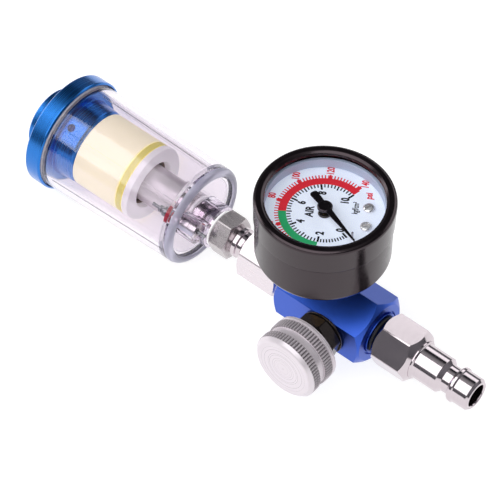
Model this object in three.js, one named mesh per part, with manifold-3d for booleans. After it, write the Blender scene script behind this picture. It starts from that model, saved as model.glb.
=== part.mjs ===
// Compressed-air pressure regulator with a dial gauge, a quick-connect inlet plug and an in-line
// water-trap filter. Units are millimetres. The flow axis is X, the gauge faces +Z, the adjusting
// knob faces -Y. The origin is the centre of the mouth of the tool port, on the filter cap.
import * as THREE from 'three';
import { mergeVertices } from 'three/addons/utils/BufferGeometryUtils.js';
import Module from 'manifold-3d';

const wasm = await Module();
wasm.setup();

// ---- driving dimensions ------------------------------------------------------------------------
const GAP = 0.3;                 // clearance left between two pieces that meet
const TURN = 2 * Math.PI;
const DEG = Math.PI / 180;

// stations along the flow axis, counted from the mouth of the tool port
const ringX = 6.5;               // left face of the cap's flange
const ringEndX = 12.55;          // right face of the cap's flange
const plugFaceX = 21.3;          // inner end of the cap, where the element sits
const elementEndX = 39.5;
const bandEndX = 42.0;
const retainerEndX = 44.7;
const bowlStartX = 8.4;
const bowlEndX = 65.3;
const recessX = 64.4;            // sunk end face of the bowl
const wallX = 61.4;              // inner face of the bowl's end wall
const neckEndX = 71.2;
const nippleHexX = 72.4;
const nippleHexEndX = 78.9;
const nutX = 84.8;
const nutEndX = 100.3;
const spigotHeadX = 93.4;        // head of the spigot that the nut turns on
const bodyX = 101.9;
const gaugeX = 112.3;
const knobX = 122.2;
const bodyEndX = 135.5;
const bossEndX = 136.0;
const plugHexX = 137.3;
const plugHexEndX = 151.5;
const plugEndX = 172.6;

// radii and widths across flats
const capR = 19.5;
const hubR = 11.1;
const toolPortR = 5.9;           // female G 1/4
const bowlOpenR = 18.5;
const bowlFootR = 17.15;
const bowlWall = 2.3;
const neckR = 7.3;
const elementR = 12.7;
const threadR = 4.75;            // G 1/8 thread, used at every small joint
const threadBoreR = threadR + GAP;
const nippleFlats = 12.9;
const nutFlats = 15.8;
const bodyFlats = 21.1;
const plugFlats = 15.97;
const drainOffset = 10.5;        // drain valve axis from the flow axis
const drainTilt = 60 * DEG;      // its place round the bowl, from +Z towards -Y
const drainBossEndX = 71.0;
const drainTravel = 2;           // stroke of the drain pin, pushed in towards the bowl

// knob train, along Y (the knob is on the negative side)
const knobR = 11.4;
const knobFaceY = -30.0;
const knobBackY = -18.5;
const screwR = 3.7;              // M8 x 1 adjusting screw
const bonnetFlats = 14;
const bonnetHexY = -16.0;
const pistonR = 5.7;

// gauge heights above the flow axis
const caseFloorZ = 21.3;
const seamZ = 35.4;
const dialZ = 38.0;
const bezelTopZ = 44.87;
const caseR = 20.85;
const bezelR = 21.5;
const windowR = 18.1;
const lensR = 19.1;              // lens, dial and spacer share this radius
const pointerZ = 40.9;
const dialTurn = 121.75 * DEG;   // turns the dial so that its scale gap points along the flow axis
const zeroAngle = 220.75 * DEG;  // pointer at rest, in the dial's own frame

// gauge movement
const toothModule = 0.25;
const pinionTeeth = 8;
const sectorTeeth = 56;
const sectorSwing = 263 / 7 * DEG;
const bourdonR = 16.6;

// ---- materials ---------------------------------------------------------------------------------
function finish(color, roughness, metalness, more = {}) {
  return new THREE.MeshStandardMaterial({ color, roughness, metalness, ...more });
}
const blueAnodised = finish(0x2f6fd0, 0.3, 0.9);
const navyAnodised = finish(0x2a3f9a, 0.35, 0.8);
const clearPlastic = finish(0xeee6f0, 0.08, 0, { transparent: true, opacity: 0.35 });
const sintered = finish(0xeadfc8, 0.9, 0);
const yellowPlastic = finish(0xe8d868, 0.5, 0);
const whitePlastic = finish(0xf0ecef, 0.45, 0);
const blackRubber = finish(0x1c1c1c, 0.8, 0);
const redRubber = finish(0xb81838, 0.6, 0);
const nickel = finish(0xa9a2a6, 0.35, 1);
const brightNickel = finish(0xddd6dc, 0.3, 1);
const chrome = finish(0xcfc9d0, 0.1, 1);
const brass = finish(0xb5975a, 0.4, 1);
const springSteel = finish(0x8f9195, 0.35, 1);
const knobAluminium = finish(0xe3dae2, 0.3, 1);
const blackOxide = finish(0x25262b, 0.4, 0.8);
const blackEnamel = finish(0x1f2024, 0.25, 0.1);
const dialEnamel = finish(0xe6ebf5, 0.6, 0);
const glass = finish(0xf4f8fb, 0.05, 0, { transparent: true, opacity: 0.25 });
const fibre = finish(0x9b4a32, 0.8, 0);

// ---- geometry helpers --------------------------------------------------------------------------
function tidied(geometry) {
  // position-only geometry with shared corners merged, slivers dropped and faces pointing out
  const bare = geometry.clone();
  for (const name of Object.keys(bare.attributes)) {
    if (name !== 'position') bare.deleteAttribute(name);
  }
  const merged = mergeVertices(bare, 1e-5);
  const index = merged.index.array;
  const at = merged.attributes.position;
  const kept = [];
  let volume = 0;
  const [a, b, c] = [new THREE.Vector3(), new THREE.Vector3(), new THREE.Vector3()];
  for (let i = 0; i < index.length; i += 3) {
    const [p, q, r] = [index[i], index[i + 1], index[i + 2]];
    if (p === q || q === r || r === p) continue;
    kept.push(p, q, r);
    a.fromBufferAttribute(at, p);
    b.fromBufferAttribute(at, q);
    c.fromBufferAttribute(at, r);
    volume += a.dot(b.cross(c));
  }
  if (volume < 0) kept.reverse();
  merged.setIndex(kept);
  return merged;
}

function solid(geometry) {
  const shape = tidied(geometry);
  return new wasm.Manifold(new wasm.Mesh({
    numProp: 3,
    vertProperties: new Float32Array(shape.attributes.position.array),
    triVerts: new Uint32Array(shape.index.array),
  }));
}

function fromSolid(manifold) {
  const mesh = manifold.getMesh();
  const geometry = new THREE.BufferGeometry();
  const corners = new Float32Array(mesh.vertProperties);
  geometry.setAttribute('position', new THREE.BufferAttribute(corners, 3));
  geometry.setIndex([...mesh.triVerts]);
  return geometry;
}

function joined(...geometries) {
  return fromSolid(geometries.map(solid).reduce((whole, next) => whole.add(next)));
}

function cut(geometry, ...tools) {
  return fromSolid(tools.map(solid).reduce((whole, tool) => whole.subtract(tool), solid(geometry)));
}

function common(first, second) {
  return fromSolid(solid(first).intersect(solid(second)));
}

// A turned shape. The outline is a list of [place along the axis, radius]; an outline that starts
// and ends off the axis is closed on itself, so it makes a ring.
function turned(axis, outline, segments = 18) {
  const points = outline.map(([along, radius]) => new THREE.Vector2(radius, along));
  if (outline[0][1] > 0) points.push(points[0].clone());
  const geometry = new THREE.LatheGeometry(points, segments);
  if (axis === 'x') geometry.rotateZ(-Math.PI / 2);
  if (axis === 'z') geometry.rotateX(Math.PI / 2);
  return geometry;
}

function rod(axis, from, to, radius, segments = 16) {
  return turned(axis, [[from, 0], [from, radius], [to, radius], [to, 0]], segments);
}

function tube(axis, from, to, inner, outer, segments = 16) {
  return turned(axis, [[from, inner], [from, outer], [to, outer], [to, inner]], segments);
}

// A ring of round section, such as an O-ring.
function seal(axis, middle, ringRadius, sectionRadius, segments = 20, sides = 6) {
  const outline = [];
  for (let k = 0; k < sides; k += 1) {
    const angle = k / sides * TURN;
    const [along, out] = [Math.cos(angle), Math.sin(angle)];
    outline.push([middle - sectionRadius * along, ringRadius + sectionRadius * out]);
  }
  return turned(axis, outline, segments);
}

// A hexagonal prism along an axis. Phase turns one corner away from +Z (or +X on an upright prism).
function hexPrism(axis, from, to, flats, phase = 0) {
  const corner = flats / Math.sqrt(3);
  const shape = new THREE.Shape();
  for (let k = 0; k < 6; k += 1) {
    const angle = phase + k / 6 * TURN;
    if (k === 0) shape.moveTo(corner * Math.cos(angle), corner * Math.sin(angle));
    else shape.lineTo(corner * Math.cos(angle), corner * Math.sin(angle));
  }
  shape.closePath();
  const geometry = new THREE.ExtrudeGeometry(shape, { depth: to - from, bevelEnabled: false });
  geometry.translate(0, 0, from);
  if (axis === 'x') geometry.rotateY(Math.PI / 2);
  if (axis === 'y') geometry.rotateX(-Math.PI / 2);
  return geometry;
}

// The same prism with both ends turned to a cone, as a nut's are.
function hexBlank(axis, from, to, flats, phase, bevel) {
  const corner = flats / Math.sqrt(3) + 0.2;
  const face = corner - bevel * 1.3;
  const cone = turned(axis, [[from, 0], [from, face], [from + bevel, corner], [to - bevel, corner],
    [to, face], [to, 0]], 24);
  return common(hexPrism(axis, from, to, flats, phase), cone);
}

// The centre line of a coil spring with its axis along Y.
class Coil extends THREE.Curve {
  constructor(from, to, radius, turns) {
    super();
    Object.assign(this, { from, to, radius, turns });
  }

  getPoint(t, target = new THREE.Vector3()) {
    const angle = t * this.turns * TURN;
    const along = this.from + (this.to - this.from) * t;
    return target.set(this.radius * Math.cos(angle), along, this.radius * Math.sin(angle));
  }
}

// A coil spring of round wire, open at both ends.
function coilSpring(axis, from, to, radius, wire, turns, stepsPerTurn = 10) {
  const section = new THREE.Shape();
  const sides = 5;
  for (let k = 0; k < sides; k += 1) {
    const angle = k / sides * TURN;
    if (k === 0) section.moveTo(wire, 0);
    else section.lineTo(wire * Math.cos(angle), wire * Math.sin(angle));
  }
  section.closePath();
  const path = new Coil(from + wire, to - wire, radius, turns);
  const steps = Math.round(turns * stepsPerTurn);
  const geometry = new THREE.ExtrudeGeometry(section, { steps, extrudePath: path, bevelEnabled: false });
  if (axis === 'x') geometry.rotateZ(-Math.PI / 2);
  return geometry;
}

// A plate: an outline extruded upwards between two heights, with round holes.
function plate(points, from, to, holes = []) {
  const shape = new THREE.Shape(points.map(([x, y]) => new THREE.Vector2(x, y)));
  for (const [x, y, radius] of holes) {
    const hole = new THREE.Path();
    hole.absarc(x, y, radius, 0, TURN, true);
    shape.holes.push(hole);
  }
  const options = { depth: to - from, bevelEnabled: false, curveSegments: 6 };
  const geometry = new THREE.ExtrudeGeometry(shape, options);
  geometry.translate(0, 0, from);
  return geometry;
}

function box(from, to) {
  const size = to.map((value, axis) => value - from[axis]);
  const geometry = new THREE.BoxGeometry(...size);
  geometry.translate(...from.map((value, axis) => value + size[axis] / 2));
  return geometry;
}

function shifted(geometry, x, y, z) {
  geometry.translate(x, y, z);
  return geometry;
}

const model = new THREE.Group();

function assembly(x = 0, turn = 0, parent = model) {
  const group = new THREE.Group();
  group.position.x = x;
  group.rotation.z = turn;
  parent.add(group);
  return group;
}

function add(group, name, geometry, material, place = [0, 0, 0]) {
  const shape = tidied(geometry).toNonIndexed();
  shape.computeVertexNormals();
  const mesh = new THREE.Mesh(shape, material);
  mesh.name = name;
  mesh.position.set(...place);
  group.add(mesh);
}

// ---- filter ------------------------------------------------------------------------------------
const filter = assembly();
const spigotR = elementR + 0.2;
const sleeveR = 8.9;             // sleeve that carries the element, snapped into the cap
const elementBoreR = sleeveR + GAP;
const retainerBoreR = 8.2;
const standpipeR = 6.4;
const standpipeX = 39;
const standpipeEndX = 59.8;
const nippleX = 56;
const drainY = -drainOffset * Math.sin(drainTilt);
const drainZ = drainOffset * Math.cos(drainTilt);

function filterCap() {
  const skirtR = bowlOpenR + GAP;
  const threadRootR = bowlOpenR - bowlWall - GAP;
  const grooveX = bowlStartX - 1.6;
  const shoulderX = ringEndX + 1.2;
  const edge = 0.5;
  const portEndX = 12;
  const galleryR = 4;
  const crossHoleR = 1.3;
  const crossHoleX = 15.8;
  const galleryEndX = crossHoleX + crossHoleR + GAP;
  const shell = turned('x', [
    [0, 0], [0, hubR - edge], [edge, hubR], [ringX, hubR], [ringX, capR - edge], [ringX + edge, capR],
    [ringEndX - edge, capR], [ringEndX, capR - edge], [ringEndX, skirtR], [grooveX, skirtR],
    [grooveX, threadRootR], [shoulderX, threadRootR], [shoulderX, spigotR + 0.6],
    [plugFaceX - 1, spigotR], [plugFaceX, spigotR - 1], [plugFaceX, 0],
  ], 28);
  const port = rod('x', -1, portEndX, toolPortR);
  const gallery = rod('x', portEndX - 1, galleryEndX, galleryR, 16);
  const crossHoles = [30, 150, 270].map((angle) => {
    const hole = rod('z', 0, spigotR + 3, crossHoleR, 12);
    hole.rotateX(angle * DEG);
    return shifted(hole, crossHoleX, 0, 0);
  });
  const socketDepth = 3;
  const socket = tube('x', plugFaceX - socketDepth, plugFaceX + 1, 7.0, sleeveR + 0.2, 24);
  return cut(shell, port, gallery, ...crossHoles, socket);
}

function filterBowl() {
  const innerOpenR = bowlOpenR - bowlWall;
  const innerFootR = bowlFootR - bowlWall - 0.3;
  const fillet = 2;
  const innerFillet = 1.2;
  const recessR = 14.3;
  const boreR = threadBoreR + 0.1;
  const drainBossR = 3.9;
  const drainBoreR = 2.75;
  const outline = [
    [bowlStartX, innerOpenR], [bowlStartX, bowlOpenR], [ringEndX, bowlOpenR - 0.05],
    [bowlEndX - fillet, bowlFootR],
  ];
  const filletSteps = 4;
  for (let k = 1; k <= filletSteps; k += 1) {
    const angle = k / filletSteps * Math.PI / 2;
    const along = bowlEndX - fillet * (1 - Math.sin(angle));
    outline.push([along, bowlFootR - fillet * (1 - Math.cos(angle))]);
  }
  outline.push(
    [bowlEndX, recessR + 0.5], [recessX, recessR], [recessX, neckR], [neckEndX, neckR],
    [neckEndX, boreR], [wallX, boreR], [wallX, innerFootR - innerFillet],
    [wallX - innerFillet, innerFootR],
  );
  const shell = turned('x', outline, 28);
  const boss = shifted(rod('x', wallX + 0.5, drainBossEndX, drainBossR, 20), 0, drainY, drainZ);
  const drainBore = shifted(rod('x', wallX - 3, drainBossEndX + 3, drainBoreR, 16), 0, drainY, drainZ);
  const neckBore = rod('x', wallX + 0.2, neckEndX + 1, boreR, 20);
  return cut(joined(shell, boss), neckBore, drainBore);
}

function elementRing(from, to) {
  return tube('x', from, to, elementBoreR, elementR, 24);
}

function elementRetainer() {
  const head = tube('x', bandEndX + GAP, retainerEndX, retainerBoreR, elementR + 0.1, 20);
  const sleeve = tube('x', plugFaceX - 2.6, bandEndX + 1, retainerBoreR, sleeveR, 20);
  const windowHalf = 3;
  const window = box(
    [plugFaceX + 3, 2, -windowHalf],
    [elementEndX - 4, elementR, windowHalf],
  );
  const windows = [0, 1, 2].map((k) => {
    const tool = window.clone();
    tool.rotateX(k / 3 * TURN);
    return tool;
  });
  return cut(joined(head, sleeve), ...windows);
}

function elementLipSeal() {
  const outerR = retainerBoreR - GAP;
  const [startX, endX] = [40.2, 42.6];
  const innerR = standpipeR + GAP;
  return turned('x', [[startX, innerR], [startX, outerR], [endX, outerR], [endX, innerR + GAP]], 20);
}

function standpipe() {
  const boreR = 4.9;
  const threadX = nippleX - 2;
  return cut(
    rod('x', standpipeX, standpipeEndX, standpipeR, 24),
    rod('x', standpipeX - 1, threadX, boreR),
    rod('x', threadX - 1, standpipeEndX + 1, threadBoreR),
  );
}

function filterNipple() {
  const boreR = 2.6;
  const phase = Math.PI + 20.8 * DEG;
  const thread = tube('x', nippleX, spigotHeadX - 1.6, boreR, threadR);
  const hexagon = cut(
    hexBlank('x', nippleHexX, nippleHexEndX, nippleFlats, phase, 0.6),
    rod('x', nippleHexX - 1, nippleHexEndX + 1, boreR + 0.5, 20),
  );
  return joined(thread, hexagon);
}

const springX = 63.5;
const springEndX = 67.7;

function drainPin() {
  const stemR = 0.55;
  const [startX, endX] = [52.5, drainBossEndX + drainTravel + 0.4];
  const collars = [[55.4, 56.3, 1.1], [57.3, 59.0, 1.6], [springEndX + GAP, springEndX + 1.1, 1.3]];
  const outline = [[startX, 0], [startX, stemR]];
  for (const [from, to, radius] of collars) {
    outline.push([from, stemR], [from, radius], [to, radius], [to, stemR]);
  }
  outline.push([endX, stemR], [endX, 0]);
  return turned('x', outline, 12);
}

function drainValveBody() {
  const [outerR, boreR, holeR] = [2.4, 1.7, 0.9];
  const [startX, endX] = [61.6, 70.3];
  return turned('x', [
    [startX, holeR], [startX, outerR], [endX, outerR], [endX, holeR], [springEndX + 1.7, holeR],
    [springEndX + 1.7, boreR], [springX - GAP, boreR], [springX - GAP, holeR],
  ], 14);
}

function drainSeal() {
  const boreR = 1.0;
  return turned('x', [
    [59.3, boreR], [59.3, boreR + 1], [60.2, boreR + 1.6], [61.3, boreR + 1.4], [61.3, boreR],
  ], 14);
}

add(filter, 'filter_cap', filterCap(), blueAnodised);
add(filter, 'cap_seal_ring', seal('x', bowlStartX - 0.95, bowlOpenR - 1.1, 0.6, 24), blackRubber);
add(filter, 'filter_bowl', filterBowl(), clearPlastic);
add(filter, 'filter_element', elementRing(plugFaceX + GAP, elementEndX), sintered);
add(filter, 'element_band', elementRing(elementEndX + GAP, bandEndX), yellowPlastic);
add(filter, 'element_retainer', elementRetainer(), whitePlastic);
add(filter, 'element_lip_seal', elementLipSeal(), blackRubber);
add(filter, 'standpipe', standpipe(), chrome);
add(filter, 'standpipe_seal', tube('x', standpipeEndX + GAP, wallX - GAP, threadBoreR, 6.3), blackRubber);
add(filter, 'filter_nipple', filterNipple(), nickel);
add(filter, 'nipple_washer', tube('x', neckEndX + GAP, nippleHexX - GAP, threadBoreR, 6.3), fibre);

const drain = assembly();
drain.position.set(0, drainY, drainZ);
add(drain, 'drain_valve_body', drainValveBody(), brass);
add(drain, 'drain_seal', drainSeal(), redRubber);
add(drain, 'drain_pin', drainPin(), brass);
add(drain, 'drain_spring', coilSpring('x', springX, springEndX, 1.1, 0.2, 4, 8), springSteel);

// ---- swivel coupling ---------------------------------------------------------------------------
const coupling = assembly();
const nutLipX = 97.2;
const spigotStemR = 4.6;

function swivelNut() {
  const blank = hexBlank('x', nutX, nutEndX, nutFlats, Math.PI - 4.6 * DEG, 1.0);
  const headBoreR = 6.7;
  const headBoreX = spigotHeadX - 1.4;
  return cut(
    blank,
    rod('x', nutX - 1, headBoreX, threadBoreR + 0.1, 20),
    rod('x', headBoreX - 0.1, nutLipX, headBoreR, 20),
    rod('x', nutLipX - 0.1, nutEndX + 1, spigotStemR + 0.35, 20),
  );
}

function swivelSpigot() {
  const boreR = 2.4;
  const headR = 6.3;
  const headEndX = spigotHeadX + 2.8;
  const endX = bodyX + 5.2;
  return turned('x', [
    [spigotHeadX, boreR], [spigotHeadX, headR], [headEndX, headR], [headEndX, spigotStemR],
    [endX, spigotStemR], [endX, boreR],
  ]);
}

add(coupling, 'swivel_nut', swivelNut(), brightNickel);
add(coupling, 'coupling_washer', tube('x', spigotHeadX - 1.3, spigotHeadX - GAP, 3.2, 6.2), fibre);
add(coupling, 'swivel_spigot', swivelSpigot(), nickel);
add(coupling, 'spigot_washer', tube('x', nutEndX + GAP, bodyX - GAP, spigotStemR + 0.35, 6.4), nickel);

// ---- regulator body ----------------------------------------------------------------------------
const regulator = assembly();
const cylinderR = pistonR + GAP;       // bore that the piston slides in
const chamberFloorY = 1.6;
const seatR = 3.6;
const poppetChamberY = 3.6;
const spotFaceZ = 9.6;

function regulatorBody() {
  const corner = bodyFlats / Math.sqrt(3) + 0.05;
  const bevel = 1.8;
  const faceR = 9.9;
  const bossR = 7.0;
  const ends = turned('x', [
    [bodyX, 0], [bodyX, faceR], [bodyX + bevel, corner], [bodyEndX - bevel, corner], [bodyEndX, faceR],
    [bodyEndX, 0],
  ], 30);
  const bar = common(hexPrism('x', bodyX, bodyEndX, bodyFlats, Math.PI), ends);
  const boss = rod('x', bodyEndX - 2, bossEndX, bossR, 24);
  const groove = tube('x', bodyEndX - 0.6, bodyEndX + 1, bossR, bossR + 0.7, 24);
  const outletBoreEndX = gaugeX - 4.8;
  const outletBore = rod('x', bodyX - 1, outletBoreEndX, spigotStemR + GAP);
  const outletHole = rod('x', outletBoreEndX - 0.7, knobX - cylinderR + 1, 1.2, 12);
  const inletBore = rod('x', knobX + cylinderR + 1, bossEndX + 1, threadBoreR);
  const inletHole = rod('y', -4.2, 4.2, 1.1, 12);
  inletHole.rotateZ(49 * DEG);
  shifted(inletHole, knobX + 5, 3.8, 0);
  const spotFace = shifted(rod('z', spotFaceZ, 14, 7.4), gaugeX, 0, 0);
  const gaugeBore = shifted(rod('z', 4.6, 14, threadBoreR), gaugeX, 0, 0);
  const gaugeHole = shifted(rod('z', 0, 5, 1.5, 12), gaugeX, 0, 0);
  const cylinder = shifted(rod('y', -12, chamberFloorY, cylinderR, 24), knobX, 0, 0);
  const seatBore = shifted(rod('y', 1, poppetChamberY, seatR + GAP), knobX, 0, 0);
  const poppetBore = shifted(rod('y', 3, 9.2, seatR), knobX, 0, 0);
  return cut(
    joined(cut(bar, groove), boss), outletBore, outletHole, inletBore, inletHole, spotFace, gaugeBore,
    gaugeHole, cylinder, seatBore, poppetBore,
  );
}

add(regulator, 'regulator_body', regulatorBody(), navyAnodised);

// ---- valve and knob train, about the knob's axis ----------------------------------------------
const train = assembly(knobX);
const bushY = -19.2;               // front end of the bonnet's threaded boss
const shoulderY = -16.2;           // inside shoulder that the spring button rests against
const bonnetHexEndY = -11.7;
const bonnetEndY = -6.5;
const buttonY = shoulderY + GAP;
const buttonEndY = buttonY + 1.6;
const pistonY = -3.7;
const pistonEndY = -1.0;
const pistonStemY = 0.3;
const seatEndY = 3.3;
const poppetSpringY = 5.7;
const recessFloorY = -23.6;        // bottom of the hollow in the back of the knob
const screwY = -28.3;              // front end of the adjusting screw, inside the knob
const screwTailR = screwR - 0.6;
const grubY = -24.9;
const grubR = 0.9;

function bonnet() {
  const springBoreR = 4.75;
  const threadX = -12;
  const head = hexBlank('y', bonnetHexY, bonnetHexEndY, bonnetFlats, 13 * DEG, 0.5);
  const shank = rod('y', bushY, bonnetEndY, 5.4);
  const thread = rod('y', threadX, bonnetEndY, pistonR, 24);
  const springBore = rod('y', shoulderY, bonnetEndY + 1, springBoreR);
  const screwBore = rod('y', bushY - 1, shoulderY + 0.2, screwR + GAP);
  return cut(joined(head, shank, thread), springBore, screwBore);
}

function piston() {
  const grooveR = 4.6;
  const [grooveY, grooveEndY] = [pistonY + 0.5, pistonEndY - 0.7];
  const stemR = 0.8;
  return turned('y', [
    [pistonY, 0], [pistonY, pistonR], [grooveY, pistonR], [grooveY, grooveR], [grooveEndY, grooveR],
    [grooveEndY, pistonR], [pistonEndY, pistonR], [pistonEndY, stemR], [pistonStemY, stemR],
    [pistonStemY, 0],
  ]);
}

function valvePoppet() {
  const stemR = 0.8;
  const headR = 2.6;
  const guideR = 1.3;
  const headY = seatEndY + 0.4;
  const headEndY = poppetSpringY - GAP;
  const guideEndY = headEndY + 1.2;
  return turned('y', [
    [pistonStemY + GAP, 0], [pistonStemY + GAP, stemR], [headY, stemR], [headY, headR],
    [headEndY, headR], [headEndY, guideR], [guideEndY, guideR], [guideEndY, 0],
  ], 16);
}

function knob() {
  const bevel = 1.1;
  const grooveR = 10.4;
  const frontBandEndY = -25.7;
  const backBandY = -23.1;
  const flangeY = -20.0;
  const hollowR = 8.6;
  const flutes = 24;
  const fluteDepth = 0.35;
  const blank = turned('y', [
    [knobFaceY, 0], [knobFaceY, knobR - bevel - 0.3], [knobFaceY + bevel, knobR],
    [frontBandEndY, knobR], [frontBandEndY, grooveR], [backBandY, grooveR], [backBandY, knobR],
    [flangeY, knobR], [flangeY, knobR - 0.2], [knobBackY, knobR - 0.2], [knobBackY, hollowR],
    [recessFloorY, hollowR], [recessFloorY, 0],
  ], 24);
  const outline = [];
  for (let k = 0; k < flutes; k += 1) {
    const crest = (k + 0.5) / flutes * TURN;
    const root = (k + 1) / flutes * TURN;
    outline.push([(knobR + 0.1) * Math.cos(crest), (knobR + 0.1) * Math.sin(crest)]);
    outline.push([(knobR - fluteDepth) * Math.cos(root), (knobR - fluteDepth) * Math.sin(root)]);
  }
  const fluted = plate(outline, 0, -knobFaceY + flangeY);
  fluted.rotateX(-Math.PI / 2);
  fluted.translate(0, knobFaceY, 0);
  const flange = rod('y', flangeY - 0.01, knobBackY, knobR, 24);
  const envelope = joined(fluted, flange);
  const screwHole = rod('y', screwY - GAP, recessFloorY + 1, screwTailR + GAP, 20);
  const grubHole = shifted(rod('z', -knobR - 1, -screwTailR, grubR + GAP, 12), 0, grubY, 0);
  return cut(common(blank, envelope), screwHole, grubHole);
}

function adjustingScrew() {
  const neckY = recessFloorY + GAP;
  const bevel = 0.5;
  return turned('y', [
    [screwY, 0], [screwY, screwTailR], [neckY - 0.6, screwTailR], [neckY, screwR],
    [shoulderY - bevel, screwR], [shoulderY, screwR - bevel], [shoulderY, 0],
  ], 20);
}

function springButton() {
  const rimR = 4.4;
  const pilotR = 2.8;
  const pilotEndY = buttonEndY + 1;
  return turned('y', [
    [buttonY, 0], [buttonY, rimR], [buttonEndY, rimR], [buttonEndY, pilotR], [pilotEndY, pilotR - 0.4],
    [pilotEndY, 0],
  ], 20);
}

add(train, 'valve_seat', tube('y', chamberFloorY + GAP, seatEndY, 1.5, seatR), brass);
add(train, 'valve_poppet', valvePoppet(), brass);
add(train, 'poppet_spring', coilSpring('y', poppetSpringY, 8.9, 1.9, 0.25, 3.5, 8), springSteel);
add(train, 'piston', piston(), brass);
add(train, 'piston_seal', seal('y', (pistonY + pistonEndY) / 2 - 0.1, 5.22, 0.36), blackRubber);
add(train, 'range_spring', coilSpring('y', buttonEndY + GAP, pistonY - GAP, 3.7, 0.5, 5), springSteel);
add(train, 'spring_button', springButton(), brass);
add(train, 'bonnet', bonnet(), blackOxide);
add(train, 'bonnet_washer', tube('y', bonnetHexEndY + GAP, -10.85, cylinderR, 8.5, 24), nickel);
add(train, 'adjusting_screw', adjustingScrew(), springSteel);
add(train, 'adjusting_knob', knob(), knobAluminium);
add(train, 'knob_grub_screw', rod('z', -9.6, -screwTailR - GAP, grubR, 12), blackOxide, [0, grubY, 0]);

// ---- inlet plug --------------------------------------------------------------------------------
const inlet = assembly();

function inletPlug() {
  const boreR = 3.7;
  const startX = 129.9;
  const lead = 0.5;
  const shoulderR = 5.85;
  const neckX = 162.1;
  const neckBottomR = 4.5;
  const beadX = 165.2;
  const beadR = 5.9;
  const tipX = 167.0;
  const tipR = 5.45;
  const rimR = 4.7;
  const hexagon = hexBlank('x', plugHexX, plugHexEndX, plugFlats, Math.PI + 23.5 * DEG, 1.5);
  const stem = turned('x', [
    [startX, 0], [startX, threadR - lead], [startX + lead, threadR], [plugHexX + 1, threadR],
    [plugHexX + 1, shoulderR], [neckX - 1.5, shoulderR], [neckX, neckBottomR],
    [beadX - lead, neckBottomR], [beadX, beadR - 0.3], [beadX + lead, beadR], [tipX - lead, beadR],
    [tipX, tipR], [plugEndX - 2 * lead, tipR], [plugEndX, rimR], [plugEndX, 0],
  ], 20);
  return cut(joined(hexagon, stem), rod('x', startX - 1, plugEndX + 1, boreR));
}

add(inlet, 'inlet_plug', inletPlug(), chrome);
add(inlet, 'inlet_seal_washer', tube('x', bossEndX + GAP, plugHexX - GAP, threadBoreR, 6.9, 24), fibre);

// ---- pressure gauge, about its own upright axis ------------------------------------------------
const gauge = assembly(gaugeX);
const works = assembly(0, dialTurn, gauge);    // the dial's own frame, in which its top is +Y
const centreDistance = toothModule * (pinionTeeth + sectorTeeth) / 2;
const sectorPlace = 210 * DEG;
const sectorX = centreDistance * Math.cos(sectorPlace);
const sectorY = centreDistance * Math.sin(sectorPlace);
const screwRadius = 13.35;
const screwSpread = 16 * DEG;
const dialScrews = [-1, 1].map((side) => {
  const angle = -Math.PI / 2 + side * screwSpread;
  return [screwRadius * Math.cos(angle), screwRadius * Math.sin(angle)];
});
const pillars = [[4.2, -5.8], [-10.2, 1.4]];
const socketHoleR = 5.3;           // hole in the case floor that the socket's shoulder stands in
const arborR = 0.6;
const arborFootZ = 27.7;
const sectorZ = 33.4;
const sectorTopZ = 34.0;
const arborHoleR = 0.9;
const tailLength = 4;
const tailAngle = 150 * DEG;
const bourdonTipAngle = 172 * DEG;

function gaugeCase() {
  const wall = 1;
  const innerR = caseR - wall;
  const step = 0.7;                // the case is this much smaller where the bezel grips it
  const floorZ = caseFloorZ + 1.2;
  const topZ = seamZ + 1.6;
  const throatZ = topZ - 3.6;
  const edge = 0.8;
  return turned('z', [
    [caseFloorZ, socketHoleR], [caseFloorZ, caseR - edge], [caseFloorZ + edge, caseR],
    [seamZ, caseR], [seamZ, caseR - step], [topZ, caseR - step], [topZ, innerR - step],
    [throatZ, innerR - step], [throatZ - step, innerR], [floorZ, innerR], [floorZ, socketHoleR],
  ], 30);
}

function gaugeBezel() {
  const innerR = 19.5;
  const gripR = caseR - 0.4;
  const gripEndZ = seamZ + 2.2;
  const lipZ = bezelTopZ - 1.5;
  const edge = 0.6;
  return turned('z', [
    [seamZ + GAP, gripR], [seamZ + GAP, bezelR - 0.2], [bezelTopZ - edge, bezelR],
    [bezelTopZ, bezelR - edge], [bezelTopZ, windowR + 0.9], [bezelTopZ - edge, windowR],
    [lipZ, windowR], [lipZ, innerR], [gripEndZ, innerR], [gripEndZ, gripR],
  ], 30);
}

function gaugeSocket() {
  const [threadZ, hexZ, hexEndZ] = [4.9, 11.2, 20.6];
  const socketFlats = 12;
  const [armZ, armEndZ] = [22.9, 26.6];
  const armReach = 18.2;
  const footReach = 15.2;
  const postR = 1.5;
  const riserR = 1.5;
  const thread = rod('z', threadZ, hexZ + 1, threadR);
  const hexagon = hexBlank('z', hexZ, hexEndZ, socketFlats, 0, 0.5);
  const shoulder = rod('z', hexEndZ - 0.6, armZ + 1, socketHoleR - GAP);
  const arm = box([-4.5, -armReach, armZ], [4.5, 6, armEndZ]);
  const foot = box([-1.6, -armReach, armEndZ - 0.6], [1.6, -footReach, 34]);
  const post = rod('z', armEndZ - 0.6, dialZ - 0.8, postR, 12);
  const postBore = rod('z', dialZ - 6, dialZ, 1.0, 10);
  const posts = dialScrews.map(([x, y]) => shifted(post.clone(), x, y, 0));
  const threads = dialScrews.map(([x, y]) => shifted(postBore.clone(), x, y, 0));
  const riser = rod('z', threadZ - 1, armZ + 2, riserR, 12);
  return cut(joined(thread, hexagon, shoulder, arm, foot, ...posts), ...threads, riser);
}

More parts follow.
